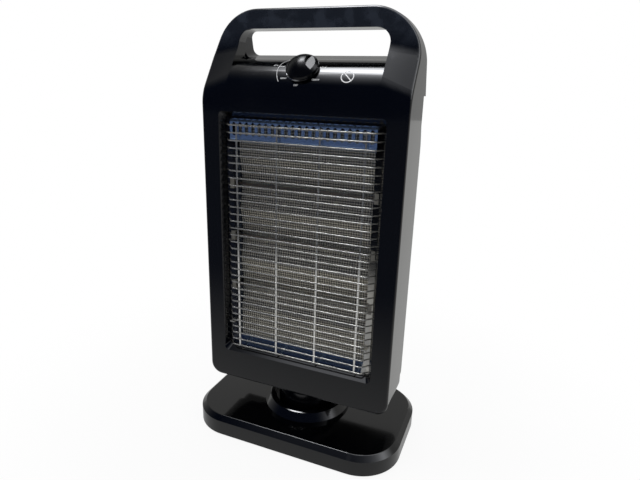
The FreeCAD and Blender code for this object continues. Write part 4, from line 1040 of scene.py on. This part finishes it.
def studio(finish, room, direction):
    """Surroundings as gloss and glass see them: a dim room ahead, a pale backdrop behind, and overhead a glow
    that is strong on the left and weak on the right. The glow fades as (1 + (tilt / width)^2)^-1.5, where
    tilt is y / sqrt(y^2 + z^2)."""
    across, ahead, height = direction
    around = finish.mix(ahead.rise(*BACKDROP_Y), room, BACKDROP)
    tilt = ahead / (ahead * ahead + height * height) ** 0.5
    right = across.rise(*GLOW_RIGHT_X)
    sides = across.rise(*GLOW_LEFT_X) ** 3.0 * (1.0 - right * 0.86)
    width = 0.18 + tilt.rise(0.0, 0.2) * 0.06 + right * 0.20
    off = tilt / width
    fade = (1.0 + off * off) ** -1.5 * (tilt * tilt).rise(0.60, 0.20)
    return finish.mix(fade * sides * height.rise(0.2, 0.5), around, GLOW)


def light_world(scene, look):
    """White to the camera, soft white as light, and the studio to gloss and glass."""
    world = bpy.data.worlds.new("studio")
    world.use_nodes = True
    scene.world = world
    finish = Finish(world.node_tree)
    direction = finish.parts(finish.tone("ShaderNodeTexCoord", output="Generated"))
    seen, mirrored = finish.rays()
    unseen = finish.mix(mirrored, SOFT_WHITE, studio(finish, look.room, direction))
    tint = finish.mix(seen, unseen, WHITE)
    sky = finish.tone("ShaderNodeBackground", {}, {"Color": tint, "Strength": 1.0})
    finish.close(sky, "ShaderNodeOutputWorld")


def lay_floor(look):
    """Large pale floor: to the camera nearly white with the heater's shadow, plain white further off, and
    to gloss and glass dim ahead and pale behind."""
    corner = np.linspace(-FLOOR_REACH, FLOOR_REACH, 2)
    x, y = np.meshgrid(corner, corner)
    points, quads = grid_part(np.stack((x, y, np.zeros_like(x)), -1))
    mesh = bpy.data.meshes.new("floor")
    mesh.from_pydata(points, [], quads)
    floor = bpy.data.objects.new("floor", mesh)
    bpy.context.scene.collection.objects.link(floor)
    paint = bpy.data.materials.new("pale_floor")
    paint.use_nodes = True
    mesh.materials.append(paint)
    finish = Finish(paint.node_tree)
    x, y, _ = finish.parts(finish.place())
    away = (x * x + y * y) ** 0.5
    seen, mirrored = finish.rays()
    around = finish.mix(y.rise(*FLOOR_BEHIND_Y), look.room, FLOOR_BEHIND)
    glow = finish.mix(seen, around, WHITE)
    share = seen * (0.90 + away.rise(*SHADOW_REACH) * 0.10) + mirrored * 0.95
    lit = finish.tone("ShaderNodeBsdfDiffuse", {}, {"Color": (*look.floor, 1.0)})
    plain = finish.tone("ShaderNodeEmission", {}, {"Color": glow, "Strength": 1.0})
    finish.close(finish.tone("ShaderNodeMixShader", {}, {0: share, 1: lit, 2: plain}))


def hang_softbox(look):
    """Softbox overhead on the left, aimed at the head."""
    lamp = bpy.data.lights.new("softbox", "AREA")
    lamp.shape, lamp.energy = "RECTANGLE", look.lamp_power
    lamp.size, lamp.size_y = SOFTBOX_SIZE
    holder = bpy.data.objects.new("softbox", lamp)
    holder.location = SOFTBOX_PLACE
    aim = Vector(SOFTBOX_AIM) - holder.location
    holder.rotation_euler = aim.to_track_quat("-Z", "Y").to_euler()
    bpy.context.scene.collection.objects.link(holder)


class HEATER_OT_stage(bpy.types.Operator):
    """Camera, pale floor, studio surroundings and softbox"""

    bl_idname = "heater.stage"
    bl_label = "Stage"

    def execute(self, context):
        look = context.scene.heater_stage
        place_camera(context.scene, look)
        lay_floor(look)
        light_world(context.scene, look)
        hang_softbox(look)
        context.scene.view_settings.view_transform = "Standard"
        return {"FINISHED"}


# Add-on

GROUPS = {"heater_guard": GuardSizes, "heater_sheet": SheetSizes, "heater_lamps": LampSizes,
          "heater_print": PrintSizes, "heater_ring": RingSizes, "heater_screws": ScrewSizes,
          "heater_colours": FinishColours, "heater_stage": StageLook}
OPERATORS = (HEATER_OT_cases, HEATER_OT_inner, HEATER_OT_guard, HEATER_OT_reflector, HEATER_OT_lamps,
             HEATER_OT_dial, HEATER_OT_ring, HEATER_OT_fasteners, HEATER_OT_stage)


class HEATER_PT_panel(bpy.types.Panel):
    """Lists the heater's pieces and settings"""

    bl_idname = "HEATER_PT_panel"
    bl_label = "Radiant heater"
    bl_space_type = "VIEW_3D"
    bl_region_type = "UI"
    bl_category = "Heater"

    def draw(self, context):
        for operator in OPERATORS:
            self.layout.operator(operator.bl_idname)
        for name, group in GROUPS.items():
            column = self.layout.column()
            for setting in group.__annotations__:
                column.prop(getattr(context.scene, name), setting)


def register():
    """Adds the classes and the settings."""
    for made in (*GROUPS.values(), *OPERATORS, HEATER_PT_panel):
        bpy.utils.register_class(made)
    for name, group in GROUPS.items():
        setattr(bpy.types.Scene, name, PointerProperty(type=group))


def unregister():
    """Takes the settings and the classes away."""
    for name in GROUPS:
        delattr(bpy.types.Scene, name)
    for made in (HEATER_PT_panel, *reversed(OPERATORS), *GROUPS.values()):
        bpy.utils.unregister_class(made)


def main():
    """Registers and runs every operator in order."""
    register()
    for operator in OPERATORS:
        group, action = operator.bl_idname.split(".")
        getattr(getattr(bpy.ops, group), action)()


if __name__ == "__main__":
    main()
